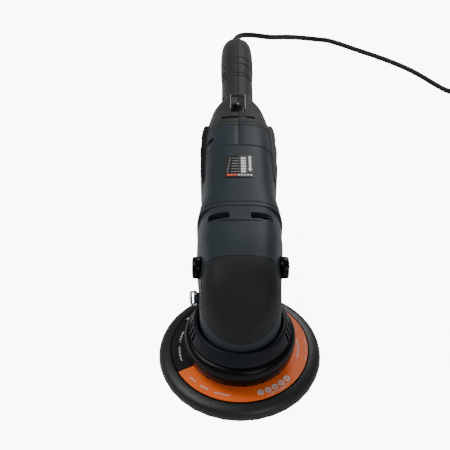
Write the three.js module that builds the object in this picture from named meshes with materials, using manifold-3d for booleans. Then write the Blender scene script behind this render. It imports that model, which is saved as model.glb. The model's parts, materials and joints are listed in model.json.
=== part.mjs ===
// A random-orbital polisher with a slim rear handle: 150 mm hook-and-loop pad,
// eccentric drive, bevel gears, in-line motor, clamshell handle and mains cord.
//
// Millimetres, +Z up. The origin is on the drive spindle's axis, in the plane
// of the pad's working face; +Y runs from the head towards the handle.

import * as THREE from 'three';
import { mergeVertices } from 'three/addons/utils/BufferGeometryUtils.js';
import Module from 'manifold-3d';

const wasm = await Module();
wasm.setup();

// ---------------------------------------------------------------- dimensions

const GAP = 0.3;              // air between pieces that touch on the real tool
const WALL = 2.4;             // moulded housing wall
const ROUND = 20;             // sides of a turned piece
const WIDE_ROUND = 32;        // sides of a large round piece
const LOFT_SIDES = 20;        // sides of a housing
const HOLLOW_SIDES = 16;      // sides of its inside
const SMALLEST_EDGE = 0.004;  // shorter edges left by a cut are closed up

// pad
const PAD_R = 75;             // working face radius
const PAD_TOP_R = 64.5;       // foam's top edge radius
const PAD_THICK = 12;         // face to top edge
const HOOK_THICK = 2;         // hook layer
const PAD_BORE_R = 12;        // well for the pad screw
const HOOK_BORE_R = 5;        // driver hole through the hook layer
const PLATE_THICK = 2.9;      // rigid plate inside the foam
const LABEL_IN_R = 46;
const LABEL_OUT_R = 63;
const LABEL_THICK = 0.5;
const LABEL_START = 208;      // orange sector, degrees from +X
const LABEL_SWEEP = 212;
const PAD_HUB_R = 17;
const PAD_HUB_Z = 17;         // top of the plate's hub
const SCREW_R = 3.9;          // pad screw shank

// eccentric drive
const THROW = 7.5;            // pad axis to spindle axis, half of the 15 mm orbit
const PAD_SHAFT_R = 7.5;
const PAD_SHAFT_Z = 35.6;     // top of the pad spindle
const BEARING_R = 15;         // pad bearing outer radius
const BEARING_Z = 21;
const BEARING_HIGH = 15.2;
const ECC_WALL = 3.3;
const ECC_Z = 19;             // lowest point of the eccentric
const ECC_TOP = 41.5;
const WEIGHT_IN_R = 20.5;
const WEIGHT_Z = 20.5;
const WEIGHT_HIGH = 12.5;
const WEIGHT_SWEEP = 140;
const SPINDLE_R = 6;
const SPINDLE_TOP = 96;

// gears: both cones meet on the spindle axis at the motor's height
const MOTOR_Z = 84.5;         // height of the armature axis
const PINION_TEETH = 8;
const CROWN_TEETH = 27;
const CROWN_R = 23;           // pitch radius at the outer end of the teeth
const FACE_SHARE = 0.68;      // inner end of the teeth, as a share of the outer
const ADDENDUM = 0.9;
const DEDENDUM = 1.4;
const CROWN_Z = 70;           // underside of the crown gear

// gear case and its bearings
const CASE_R = 28.5;
const CASE_WALL = 3;
const CASE_Z = 45;
const CASE_FLOOR = 62;        // inside floor of the case
const CASE_SPLIT = 82;        // joint between case and cap
const CAP_TOP = 100;
const CAP_FRONT = -19;        // flat front of the raised part of the cap
const LOWER_BEARING_R = 16;
const LOWER_BEARING_Z = 50;
const LOWER_BEARING_HIGH = 11;
const UPPER_BEARING_R = 11;
const UPPER_BEARING_Z = 89;
const UPPER_BEARING_HIGH = 7;
const NECK_R = 16;            // tube that holds the front motor bearing
const NECK_END = 44;

// shroud and collar
const SHROUD_R = 50;
const WEIGHT_ROOM = 8;        // counterweight's outer edge to the shroud's outside
const WEIGHT_OUT_R = SHROUD_R - WEIGHT_ROOM;
const SHROUD_Z = 24;
const SHROUD_TOP = 44.7;
const COLLAR_STEP = 4.5;      // shroud's outside to the collar's
const COLLAR_R = SHROUD_R - COLLAR_STEP;
const COLLAR_TOP_R = 41.2;
const COLLAR_TOP = 59;

// head cover
const NOSE_R = 36;            // plan radius of the front
const NOSE_Y = -2;            // centre of that radius
const NOSE_FOOT = 68;         // where the front starts to lean back
const NOSE_CREST_Y = 11;      // where the front reaches the top
const NOSE_CREST_Z = 127;
const HEAD_BOTTOM = 59.3;
const HEAD_END = 81.7;
const HEAD_WALL = 4.9;
const INSERT_THICK = 2.2;     // soft front panel
const INSERT_BED = 0.8;       // room for the adhesive under it
const INSERT_LOW = 68;        // its lower edge at the front
const INSERT_FLANK = 100;     // height on the flanks where its edge turns forward
const VENT_Y = [59, 69.5];
const VENT_X = [9.5, 29];
const BOSS_R = 9.7;           // side handle plugs
const BOSS_OUT = 42.4;        // their outer faces
const BOSS_Y = 22.6;
const BOSS_Z = 101;
const BOSS_STUB_R = 6;
const BOSS_FACE_THICK = 3.5;
const RING_X = -38.9;         // hanging ring's hinge axis
const RING_Y = 14;
const RING_WIRE_R = 1.25;
const RING_OUT = 5;           // hinge axis to outer leg
const RING_Z = [62, 81];
const RING_END_GAP = 0.3;     // where the bent wire's two ends meet
const EAR_Z = [68, 75];

// motor
const MOTOR_START = 82;
const MOTOR_END = 174;
const CORE_Y = [98, 146];
const CORE_R = 31.5;
const CORE_BORE_R = 20.5;
const ARMATURE_R = 19.7;
const SHAFT_R = 5;
const SHAFT_END = 192;
const FRONT_BEARING_Y = 33;
const FRONT_BEARING_R = 13;
const FRONT_BEARING_LONG = 10;
const REAR_BEARING_Y = 177.4;
const REAR_BEARING_R = 9.5;
const REAR_BEARING_LONG = 7;
const FAN_Y = 66.5;
const FAN_R = 29;
const FAN_LONG = 12;
const FAN_BLADES = 9;
const COMM_Y = 157;
const COMM_R = 11;
const COMM_LONG = 12;
const BRUSH_HALF = 3;         // half of the brush's square side
const BRUSH_HOLDER_OUT = 31.5;

// rear housing
const COLLAR_END = 212.5;     // joint between rear collar and handle
const HANDLE_END = 420;
const BULB_START = 324;
const SEAM = 0.15;            // half of the gap between the two clamshell halves
const COVER_Y = [140, 228];   // side covers
const COVER_Z = [66, 103];
const COVER_PROUD = 3.2;
const COVER_LOBES = 3;
const LABEL_Y = [123, 157];
const LABEL_HALF = 14.5;

// controls
const DIAL_R = 29;
const DIAL_Y = 229.6;
const DIAL_THICK = 3.2;
const DIAL_HALF_WINDOW = 17;
const SWITCH_Y = 251;         // centre of the button
const SWITCH_Z = 108.2;       // top of its bed there
const SWITCH_LONG = 18;
const SWITCH_HALF = 6.5;
const SWITCH_HIGH = 3;
const SWITCH_TRAVEL = 9;
const SWITCH_PITCH = -0.09;   // the bed follows the handle's slope
const BED_DEEP = 2.6;

// cord
const CORD_R = 3.3;
const CORD_EXIT = new THREE.Vector3(0, 446, 73);
const RELIEF_START = 405;
const COIL_CENTRE = [374, 371];
const COIL_IN_R = 36;
const COIL_OUT_R = 57;
const COIL_HIGH = 27;
const PLUG_AT = [305, 321];
const PIN_R = 2.4;
const PIN_LONG = 19;

// cord route from the strain relief over the floor to the coil, by hand
const CORD_ROUTE = [
  [0, 446.3, 73], [2.5, 456, 71], [9, 466, 67], [19, 475.5, 61.5], [31, 483, 55.5],
  [43.5, 492, 48.5], [56, 506, 40], [69, 521, 31], [82, 535, 22], [95, 547, 13.5],
  [109.5, 555, 7], [124, 557, 4.2], [139, 550.5, 3.4], [154.5, 540, 3.4],
  [170.5, 529, 3.4], [186.5, 518.5, 3.4], [201, 508, 3.4], [214.5, 497, 3.4],
  [227, 485.5, 3.4], [237.5, 474, 3.4], [247, 462, 3.4], [256, 450.5, 3.4],
  [265, 440.5, 3.4], [277, 432.5, 3.4], [291, 427.5, 3.4], [307, 425.2, 3.4],
  [325, 424.4, 3.4], [345, 424.3, 3.4],
];

// ----------------------------------------------------------------- materials

function finish(colour, roughness, metalness) {
  return new THREE.MeshStandardMaterial({ color: colour, roughness, metalness });
}

const housingBlue = finish(0x313a43, 0.6, 0);
const handleGrey = finish(0x383a3b, 0.7, 0);
const blackPlastic = finish(0x16171a, 0.55, 0);
const collarPlastic = finish(0x1f242a, 0.6, 0);
const softRubber = finish(0x26282a, 0.85, 0);
const padFoam = finish(0x26262a, 0.9, 0);
const hookFabric = finish(0x1b1b1d, 1, 0);
const orangePrint = finish(0xe8541a, 0.5, 0);
const blackPrint = finish(0x242424, 0.5, 0);
const steel = finish(0x9a9c9f, 0.35, 1);
const polishedSteel = finish(0xd0d2d4, 0.12, 1);
const aluminium = finish(0xa9abad, 0.45, 1);
const copper = finish(0xb06a3a, 0.4, 1);
const carbon = finish(0x2a2a2a, 0.8, 0);
const fibreBoard = finish(0x3a5a3c, 0.7, 0);
const cordSheath = finish(0x141415, 0.6, 0);

// ------------------------------------------------------------------- helpers

// One closed body: shared vertices merged, slivers dropped, faces turned out.
function closed(source) {
  const bare = source.clone();
  bare.deleteAttribute('normal');
  bare.deleteAttribute('uv');
  const merged = mergeVertices(bare, 1e-4);
  const corner = merged.index.array;
  const at = merged.attributes.position;
  const kept = [];
  let volume = 0;
  const [p, q, r] = [new THREE.Vector3(), new THREE.Vector3(), new THREE.Vector3()];
  for (let i = 0; i < corner.length; i += 3) {
    const [a, b, c] = corner.subarray(i, i + 3);
    if (a === b || b === c || c === a) continue;
    kept.push([a, b, c]);
    p.fromBufferAttribute(at, a);
    q.fromBufferAttribute(at, b);
    r.fromBufferAttribute(at, c);
    volume += p.dot(q.cross(r));
  }
  merged.setIndex(kept.flatMap(([a, b, c]) => (volume < 0 ? [a, c, b] : [a, b, c])));
  return merged;
}

function solid(geometry) {
  if (geometry instanceof wasm.Manifold) return geometry;
  const shape = closed(geometry);
  return new wasm.Manifold(new wasm.Mesh({
    numProp: 3,
    vertProperties: new Float32Array(shape.attributes.position.array),
    triVerts: new Uint32Array(shape.index.array),
  }));
}

const join = (...shapes) => shapes.map(solid).reduce((a, b) => a.add(b));
const cut = (base, ...tools) => tools.map(solid).reduce((a, b) => a.subtract(b), solid(base));
const common = (...shapes) => shapes.map(solid).reduce((a, b) => a.intersect(b));

function geometryOf(shape) {
  if (!(shape instanceof wasm.Manifold)) return closed(shape);
  const mesh = shape.simplify(SMALLEST_EDGE).getMesh();
  const geometry = new THREE.BufferGeometry();
  geometry.setAttribute('position', new THREE.BufferAttribute(mesh.vertProperties.slice(), 3));
  geometry.setIndex(new THREE.BufferAttribute(mesh.triVerts.slice(), 1));
  return geometry;
}

const group = new THREE.Group();

function piece(name, shape, material, parent = group) {
  const mesh = new THREE.Mesh(geometryOf(shape), material);
  mesh.name = name;
  parent.add(mesh);
  return mesh;
}

function box([x0, x1], [y0, y1], [z0, z1]) {
  const shape = new THREE.BoxGeometry(x1 - x0, y1 - y0, z1 - z0);
  return shape.translate((x0 + x1) / 2, (y0 + y1) / 2, (z0 + z1) / 2);
}

function rodX(radius, [x0, x1], y, z, sides = 24) {
  const shape = new THREE.CylinderGeometry(radius, radius, x1 - x0, sides);
  return shape.rotateZ(Math.PI / 2).translate((x0 + x1) / 2, y, z);
}

function rodY(radius, [y0, y1], x, z, sides = 24) {
  const shape = new THREE.CylinderGeometry(radius, radius, y1 - y0, sides);
  return shape.translate(x, (y0 + y1) / 2, z);
}

function rodZ(radius, [z0, z1], x = 0, y = 0, sides = ROUND) {
  const shape = new THREE.CylinderGeometry(radius, radius, z1 - z0, sides);
  return shape.rotateX(Math.PI / 2).translate(x, y, (z0 + z1) / 2);
}

// Turned about Z (or Y) from [radius, height] points; a ring's outline closes on itself.
function turnedY(points, sides = ROUND, z = MOTOR_Z) {
  const outline = points.map(([radius, height]) => new THREE.Vector2(radius, height));
  if (points[0][0] > 0) outline.push(outline[0].clone());
  return new THREE.LatheGeometry(outline, sides).translate(0, 0, z);
}

function turnedZ(points, sides = ROUND, y = 0) {
  return turnedY(points, sides, 0).rotateX(Math.PI / 2).translate(0, y, 0);
}

const washerOutline = (inner, outer, low, high) => [
  [inner, low], [outer, low], [outer, high], [inner, high],
];

function extruded(shape, depth) {
  return new THREE.ExtrudeGeometry(shape, {
    depth, steps: 1, bevelEnabled: false, curveSegments: 12,
  });
}

// Flat ring sector in the XY plane, angles in degrees from +X.
function sector(inner, outer, start, sweep, low, high) {
  const from = THREE.MathUtils.degToRad(start);
  const to = THREE.MathUtils.degToRad(start + sweep);
  const outline = new THREE.Shape();
  outline.absarc(0, 0, outer, from, to, false);
  outline.absarc(0, 0, inner, to, from, true);
  return new THREE.ExtrudeGeometry(outline, {
    depth: high - low, steps: 1, bevelEnabled: false, curveSegments: 18,
  }).translate(0, 0, low);
}

// Smooth value between hand-set [y, value] points, never past its neighbours.
function along(points, y) {
  const last = points.length - 1;
  if (y <= points[0][0]) return points[0][1];
  if (y >= points[last][0]) return points[last][1];
  const i = points.findIndex(([at]) => at > y) - 1;
  const rise = (k) => (points[k + 1][1] - points[k][1]) / (points[k + 1][0] - points[k][0]);
  const slope = (k) => {
    if (k === 0) return rise(0);
    if (k === last) return rise(last - 1);
    const [before, after] = [rise(k - 1), rise(k)];
    return before * after <= 0 ? 0 : (2 * before * after) / (before + after);
  };
  const step = points[i + 1][0] - points[i][0];
  const t = (y - points[i][0]) / step;
  const [u, v] = [t * t * (3 - 2 * t), 1 - t];
  return points[i][1] * (1 - u) + points[i + 1][1] * u
    + step * (slope(i) * t * v * v - slope(i + 1) * t * t * v);
}

// A closed loft along Y. at(y) gives half-width, top, bottom and squareness.
function loft(stations, at, sides = LOFT_SIDES, flatBottom = false) {
  const shape = new THREE.CylinderGeometry(1, 1, 1, sides, stations.length - 1);
  const place = shape.attributes.position;
  for (let i = 0; i < place.count; i += 1) {
    const row = Math.round((place.getY(i) + 0.5) * (stations.length - 1));
    const y = stations[row];
    const { half, top, bottom, square } = at(y);
    const reach = Math.hypot(place.getX(i), place.getZ(i));
    const turn = Math.atan2(place.getZ(i), place.getX(i));
    const across = Math.sign(Math.cos(turn)) * Math.abs(Math.cos(turn)) ** (2 / square);
    const upward = Math.sign(Math.sin(turn)) * Math.abs(Math.sin(turn)) ** (2 / square);
    const middle = flatBottom ? bottom : (top + bottom) / 2;
    const rise = flatBottom ? Math.max(upward, 0) : upward;
    place.setXYZ(i, reach * half * across, y, middle + reach * (top - middle) * rise);
  }
  return shape;
}

function steps(from, to, count) {
  return Array.from({ length: count + 1 }, (_, i) => from + ((to - from) * i) / count);
}

// ------------------------------------------------------------ outer surfaces

const BODY_HALF = [
  [82, 39.9], [92, 38.9], [101, 37.6], [112, 35.8], [126, 35.2], [174, 35.2], [205, 35],
  [222, 34.2], [239, 32], [256, 29.2], [266, 26.8], [272, 24.2], [277, 21], [283, 17.6],
  [300, 17.3], [340, 17.4], [358, 18.3], [382, 18.5], [402, 17.6], [412, 15.6], [417, 12.6],
  [420, 8.5],
];
const BODY_TOP = [
  [82, 122], [92, 121.2], [174, 119.8], [212, 116.4], [230, 113.4], [250, 109.6],
  [280, 105.6], [324, 102.4], [350, 103], [382, 102.4], [402, 99], [412, 95], [417, 91], [420, 86],
];
const BODY_BOTTOM = [
  [82, 49.5], [92, 48], [174, 48], [212, 50.5], [250, 55.5], [280, 59.5], [324, 60],
  [350, 56.5], [382, 54.5], [402, 57], [412, 61], [417, 65], [420, 70],
];
const BODY_SQUARE = [[82, 3.4], [212, 3], [274, 2.5], [420, 2.2]];

function bodyAt(inset) {
  return (y) => ({
    half: along(BODY_HALF, y) - inset,
    top: along(BODY_TOP, y) - inset,
    bottom: along(BODY_BOTTOM, y) + inset,
    square: along(BODY_SQUARE, y),
  });
}

const HEAD_HALF = [[-2, 36], [8, 36.2], [27, 37.3], [45, 38.9], [64, 39.9], [82, 39.9]];
const HEAD_TOP = [[11, 127], [30, 128], [57, 127.2], [71, 124.4], [82, 122]];
const HEAD_LOW = [[46, HEAD_BOTTOM], [60, 50], [82, 49.5]];

function headAt(inset, floor) {
  return (y) => {
    const radius = NOSE_R - inset;
    const lean = (NOSE_CREST_Y - y) / (NOSE_CREST_Y - NOSE_Y + NOSE_R - inset);
    const nose = y < NOSE_CREST_Y
      ? NOSE_FOOT + (NOSE_CREST_Z - NOSE_FOOT - inset) * Math.sqrt(Math.max(0, 1 - lean * lean))
      : along(HEAD_TOP, y) - inset;
    const half = y < NOSE_Y
      ? Math.sqrt(Math.max(1, radius * radius - (y - NOSE_Y) ** 2))
      : along(HEAD_HALF, y) - inset;
    return { half, top: nose, bottom: along(HEAD_LOW, y) + floor, square: 4 };
  };
}

function headStations(inset, end) {
  const radius = NOSE_R - inset;
  const front = steps(2, 76, 5).map((deg) => (
    NOSE_Y - radius * Math.cos(THREE.MathUtils.degToRad(deg))));
  return [...front, 2, NOSE_CREST_Y, 24, 38, 46, 60, 71, end];
}

const headSkin = (inset, floor, end) => (
  loft(headStations(inset, end), headAt(inset, floor), LOFT_SIDES, true));

// ----------------------------------------------------------------- pad group

function makePad() {
  const plateLow = PAD_THICK - PLATE_THICK;
  const plateTop = PAD_THICK;
  const at = (shape) => shape.translate(0, THROW, 0);
  piece('pad_hook_face', at(turnedZ(washerOutline(HOOK_BORE_R, PAD_R - 0.6, 0, HOOK_THICK), WIDE_ROUND)),
    hookFabric);
  const foamLow = HOOK_THICK + GAP;
  piece('pad_foam', at(turnedZ([
    [PAD_BORE_R, foamLow], [PAD_R - 0.3, foamLow], [PAD_R, foamLow + 2],
    [PAD_R - 1.8, PAD_THICK - 4], [PAD_R - 5, PAD_THICK - 1.6], [PAD_TOP_R, PAD_THICK],
    [PAD_TOP_R - 0.4, PAD_THICK], [PAD_TOP_R - 0.4, plateLow - GAP], [PAD_BORE_R, plateLow - GAP],
  ], WIDE_ROUND)), padFoam);
  const plateR = PAD_TOP_R - 0.4 - GAP;
  piece('pad_plate', at(turnedZ([
    [SCREW_R + GAP, plateLow], [plateR, plateLow], [plateR, plateTop],
    [PAD_HUB_R + 2, plateTop], [PAD_HUB_R, plateTop + 2], [PAD_HUB_R, PAD_HUB_Z],
    [SCREW_R + GAP, PAD_HUB_Z],
  ], WIDE_ROUND)), blackPlastic);
  const labelLow = plateTop + GAP;
  const labels = [
    ['pad_label_orange', LABEL_START, LABEL_SWEEP, orangePrint],
    ['pad_label_black', LABEL_START + LABEL_SWEEP + 0.4, 360 - LABEL_SWEEP - 0.8, blackPrint],
  ];
  for (const [name, start, sweep, material] of labels) {
    const shape = sector(LABEL_IN_R, LABEL_OUT_R, start, sweep, labelLow, labelLow + LABEL_THICK);
    piece(name, at(shape), material);
  }
  const washerLow = plateLow - GAP - 1.5;
  piece('pad_washer', at(turnedZ(washerOutline(SCREW_R + GAP, 9.5, washerLow, plateLow - GAP))), steel);
  const headTop = washerLow - GAP;
  const screw = turnedZ([
    [0, headTop - 4.5], [6.5, headTop - 4.5], [6.5, headTop], [SCREW_R, headTop],
    [SCREW_R, PAD_SHAFT_Z - 6], [0, PAD_SHAFT_Z - 6],
  ], 24);
  const socket = new THREE.CylinderGeometry(3.4, 3.4, 3, 6).rotateX(Math.PI / 2);
  piece('pad_screw', cut(screw, socket.translate(0, 0, headTop - 4)).translate(0, THROW, 0), steel);
  const flangeLow = PAD_HUB_Z + GAP;
  piece('pad_spindle', at(turnedZ([
    [0, PAD_SHAFT_Z - 5], [SCREW_R + GAP, PAD_SHAFT_Z - 5], [SCREW_R + GAP, flangeLow],
    [12, flangeLow], [12, BEARING_Z - 0.5], [PAD_SHAFT_R, BEARING_Z - 0.5],
    [PAD_SHAFT_R, PAD_SHAFT_Z], [0, PAD_SHAFT_Z],
  ])), steel);
}

// ----------------------------------------------------------- eccentric group

function makeEccentric() {
  const boreR = BEARING_R + GAP;
  const hubR = boreR + ECC_WALL;
  const roof = BEARING_Z + BEARING_HIGH + GAP;
  piece('pad_bearing', turnedZ(washerOutline(
    PAD_SHAFT_R + GAP, BEARING_R, BEARING_Z, BEARING_Z + BEARING_HIGH), ROUND, THROW), steel);
  const webLow = WEIGHT_Z + WEIGHT_HIGH + GAP;
  const start = 270 - WEIGHT_SWEEP / 2;
  const web = sector(10, WEIGHT_OUT_R - 1, start, WEIGHT_SWEEP, webLow, webLow + 3);
  const hub = join(
    rodZ(hubR, [ECC_Z, roof + 2.4], 0, THROW),
    rodZ(SPINDLE_R + GAP + 5, [roof - 1, ECC_TOP]),
    web,
  );
  piece('eccentric_hub', cut(hub,
    rodZ(boreR, [ECC_Z - 1, roof], 0, THROW),
    rodZ(SPINDLE_R + GAP, [roof - 1, ECC_TOP + 1])), steel);
  piece('counterweight',
    sector(WEIGHT_IN_R, WEIGHT_OUT_R, start, WEIGHT_SWEEP, WEIGHT_Z, WEIGHT_Z + WEIGHT_HIGH), steel);
  piece('drive_spindle', turnedZ([
    [0, roof + 0.5], [SPINDLE_R, roof + 0.5], [SPINDLE_R, CROWN_Z - 5], [SPINDLE_R - 1, CROWN_Z - 5],
    [SPINDLE_R - 1, UPPER_BEARING_Z - 2], [SPINDLE_R - 1.5, UPPER_BEARING_Z - 2],
    [SPINDLE_R - 1.5, SPINDLE_TOP], [0, SPINDLE_TOP],
  ], 24), steel);
}

// Tooth tips and roots: each pitch has four corners, tip, tip, root, root.
const TOOTH_CORNERS = [-0.1, 0.1, 0.29, 0.71];

function makeCrownGear() {
  const pinionR = (CROWN_R * PINION_TEETH) / CROWN_TEETH;
  const cone = pinionR / CROWN_R;
  const outer = CROWN_R;
  const inner = CROWN_R * FACE_SHARE;
  const bore = SPINDLE_R - 1 + GAP;
  const radii = [bore, outer, outer, inner, bore];
  const low = CROWN_Z;
  const shape = turnedZ(radii.map((radius, i) => [radius, low + i]), CROWN_TEETH * 4);
  const place = shape.attributes.position;
  const pitch = (2 * Math.PI) / CROWN_TEETH;
  for (let i = 0; i < place.count; i += 1) {
    const row = Math.round(place.getZ(i) - low);
    const radius = Math.hypot(place.getX(i), place.getY(i));
    const turn = Math.atan2(place.getY(i), place.getX(i)) + Math.PI * 2;
    const corner = Math.round((turn / pitch) * 4);
    const tooth = Math.floor(corner / 4);
    const kind = corner % 4;
    const angle = (tooth + 0.5 + TOOTH_CORNERS[kind]) * pitch + Math.PI / 2 - Math.PI * 2;
    const lift = (kind < 2 ? ADDENDUM : -DEDENDUM) * (radius / CROWN_R);
    const crest = MOTOR_Z - cone * radius + lift;
    const hub = MOTOR_Z - cone * inner - 2 * DEDENDUM;
    const z = [low, low, crest, crest, hub][row];
    place.setXYZ(i, radius * Math.cos(angle), radius * Math.sin(angle), z);
  }
  piece('crown_gear', shape, steel);
}

function makePinion() {
  const pitchR = (CROWN_R * PINION_TEETH) / CROWN_TEETH;
  const outline = new THREE.Shape();
  for (let tooth = 0; tooth < PINION_TEETH; tooth += 1) {
    TOOTH_CORNERS.forEach((share, kind) => {
      const turn = ((tooth + share) / PINION_TEETH) * 2 * Math.PI - Math.PI / 2;
      const radius = pitchR + (kind < 2 ? ADDENDUM : -DEDENDUM);
      const [x, y] = [radius * Math.cos(turn), radius * Math.sin(turn)];
      if (tooth + kind === 0) outline.moveTo(x, y);
      else outline.lineTo(x, y);
    });
  }
  const long = CROWN_R * (1 - FACE_SHARE);
  const teeth = extruded(outline, long).rotateX(Math.PI / 2).translate(0, CROWN_R, 0);
  const place = teeth.attributes.position;
  for (let i = 0; i < place.count; i += 1) {
    const share = place.getY(i) / CROWN_R;
    place.setXYZ(i, place.getX(i) * share, place.getY(i), place.getZ(i) * share);
  }
  const rootR = pitchR - DEDENDUM;
  const body = join(teeth, rodY(rootR, [CROWN_R - 0.5, CROWN_R + 4], 0, 0));
  const bored = cut(body, rodY(3.3, [CROWN_R - 4.3, CROWN_R + 5], 0, 0));
  piece('bevel_pinion', bored.translate(0, 0, MOTOR_Z), steel);
}

// ------------------------------------------------------------------ gearcase

function makeGearCase() {
  const inside = CASE_R - CASE_WALL;
  const pocketR = FRONT_BEARING_R + GAP;
  const base = join(
    rodZ(CASE_R, [CASE_Z, CASE_SPLIT]),
    rodY(NECK_R, [CASE_R - 6, NECK_END], 0, MOTOR_Z, 32),
  );
  const hollow = cut(base,
    rodZ(inside, [CASE_FLOOR, CAP_TOP + 5]),
    rodZ(LOWER_BEARING_R + GAP, [LOWER_BEARING_Z - GAP, CASE_FLOOR + 1]),
    rodZ(9, [CASE_Z - 1, LOWER_BEARING_Z]),
    rodY(9, [CASE_R - 10, NECK_END], 0, MOTOR_Z),
    rodY(pocketR, [FRONT_BEARING_Y - GAP, NECK_END + 1], 0, MOTOR_Z, 32));
  piece('gear_case', hollow, aluminium);

  const low = CASE_SPLIT + GAP;
  const ahead = box([-60, 60], [CAP_FRONT, 60], [CASE_SPLIT, CAP_TOP + 1]);
  const cavity = common(
    rodZ(inside, [low - 1, CAP_TOP - 3.5]),
    box([-60, 60], [CAP_FRONT + CASE_WALL, 60], [low - 1, CAP_TOP]),
  );
  const shell = cut(
    join(rodZ(CASE_R, [low, low + 2.6]), common(rodZ(CASE_R, [low, CAP_TOP]), ahead)),
    cavity,
    rodZ(inside - 7, [low - 1, low + 1]),
    rodY(NECK_R + GAP, [CASE_R - 8, NECK_END], 0, MOTOR_Z, 32),
  );
  const ringLow = UPPER_BEARING_Z - 1;
  const holder = turnedZ(washerOutline(
    UPPER_BEARING_R + GAP, UPPER_BEARING_R + 2.6, ringLow, CAP_TOP - 3));
  piece('gear_case_cap', join(shell, holder), aluminium);

  piece('spindle_bearing_lower', turnedZ(washerOutline(SPINDLE_R + GAP, LOWER_BEARING_R,
    LOWER_BEARING_Z, LOWER_BEARING_Z + LOWER_BEARING_HIGH)), steel);
  piece('spindle_bearing_upper', turnedZ(washerOutline(SPINDLE_R - 1.5 + GAP, UPPER_BEARING_R,
    UPPER_BEARING_Z, UPPER_BEARING_Z + UPPER_BEARING_HIGH)), steel);
}

function makeShroudAndCollar() {
  const inner = SHROUD_R - 4;
  piece('shroud', turnedZ([
    [inner, SHROUD_Z], [inner + 2.2, SHROUD_Z], [SHROUD_R - 0.4, SHROUD_Z + 8],
    [SHROUD_R, SHROUD_TOP - 6.7], [SHROUD_R - 0.8, SHROUD_TOP - 3], [SHROUD_R - 2.8, SHROUD_TOP - 0.8],
    [SHROUD_R - 5.4, SHROUD_TOP], [24, SHROUD_TOP], [24, SHROUD_TOP - 2.7],
    [inner - 2, SHROUD_TOP - 2.7], [inner, SHROUD_TOP - 5],
  ], WIDE_ROUND), blackPlastic);
  const low = SHROUD_TOP + GAP;
  const middle = COLLAR_TOP - 4.5;
  const thick = 2.8;
  piece('vented_collar', turnedZ([
    [COLLAR_R - thick, low], [COLLAR_R, low], [COLLAR_R, low + 3.4],
    [COLLAR_TOP_R + 2, middle], [COLLAR_TOP_R, COLLAR_TOP], [COLLAR_TOP_R - thick, COLLAR_TOP],
    [COLLAR_TOP_R + 2 - thick, middle], [COLLAR_R - thick, low + 3.4],
  ], WIDE_ROUND), collarPlastic);
}

// ---------------------------------------------------------------- head cover

// Side outline of the soft panel's region, swept right across the head.
function insertRegion(grow) {
  const back = NOSE_CREST_Y + grow;
  const low = INSERT_LOW - grow;
  const front = NOSE_Y - NOSE_R - 8;
  const span = 2 * NOSE_R + 30;
  const outline = new THREE.Shape();
  outline.moveTo(back, NOSE_CREST_Z + 20);
  outline.lineTo(front, NOSE_CREST_Z + 20);
  outline.lineTo(front, low);
  outline.lineTo(front + 6, low);
  outline.quadraticCurveTo(back - 17, low + 8, back, INSERT_FLANK);
  return extruded(outline, span).rotateX(Math.PI / 2).rotateZ(Math.PI / 2)
    .translate(-span / 2, 0, 0);
}

function makeHead() {
  const end = HEAD_END;
  const outer = solid(headSkin(0, 0, end));
  const insert = cut(common(outer, insertRegion(0)), headSkin(INSERT_THICK, 0, end + 10));
  piece('nose_insert', insert, softRubber);
  const bed = common(headSkin(INSERT_THICK + INSERT_BED, 0.5, end), insertRegion(GAP + 1));
  const body = join(cut(outer, insertRegion(GAP)), bed);

  const hollow = headSkin(HEAD_WALL, 2.6, end + 10);
  const bosses = [-1, 1].map((side) => rodX(BOSS_R + 0.8,
    side > 0 ? [28, BOSS_OUT - BOSS_FACE_THICK - GAP] : [GAP + BOSS_FACE_THICK - BOSS_OUT, -28],
    BOSS_Y, BOSS_Z, 32));
  const earX = [RING_X - RING_WIRE_R - 1.3, RING_X + 4];
  const ear = box(earX, [RING_Y - 4, RING_Y + 4], EAR_Z);
  const vents = [-1, 1].map((side) => box(
    side > 0 ? VENT_X : [-VENT_X[1], -VENT_X[0]], VENT_Y, [112, 140]));
  const shell = cut(join(body, ...bosses, ear),
    hollow,
    rodZ(CASE_R + 1.2, [HEAD_BOTTOM - 2, HEAD_BOTTOM + 4]),
    ...vents,
    ...[-1, 1].map((side) => rodX(BOSS_STUB_R + GAP,
      side > 0 ? [20, 60] : [-60, -20], BOSS_Y, BOSS_Z)),
    rodZ(RING_WIRE_R + GAP, [EAR_Z[0] - 1, EAR_Z[1] + 1], RING_X, RING_Y, 16));
  piece('head_cover', shell, housingBlue);

  for (const [name, side] of [['boss_plug_left', -1], ['boss_plug_right', 1]]) {
    const face = BOSS_OUT - BOSS_FACE_THICK;
    const plug = turnedY([
      [0, 31], [BOSS_STUB_R, 31], [BOSS_STUB_R, face], [BOSS_R, face],
      [BOSS_R, BOSS_OUT - 0.8], [BOSS_R - 0.8, BOSS_OUT], [0, BOSS_OUT],
    ], 32, 0).rotateZ((-side * Math.PI) / 2);
    piece(name, plug.translate(0, BOSS_Y, BOSS_Z), blackPlastic);
  }
}

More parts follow.
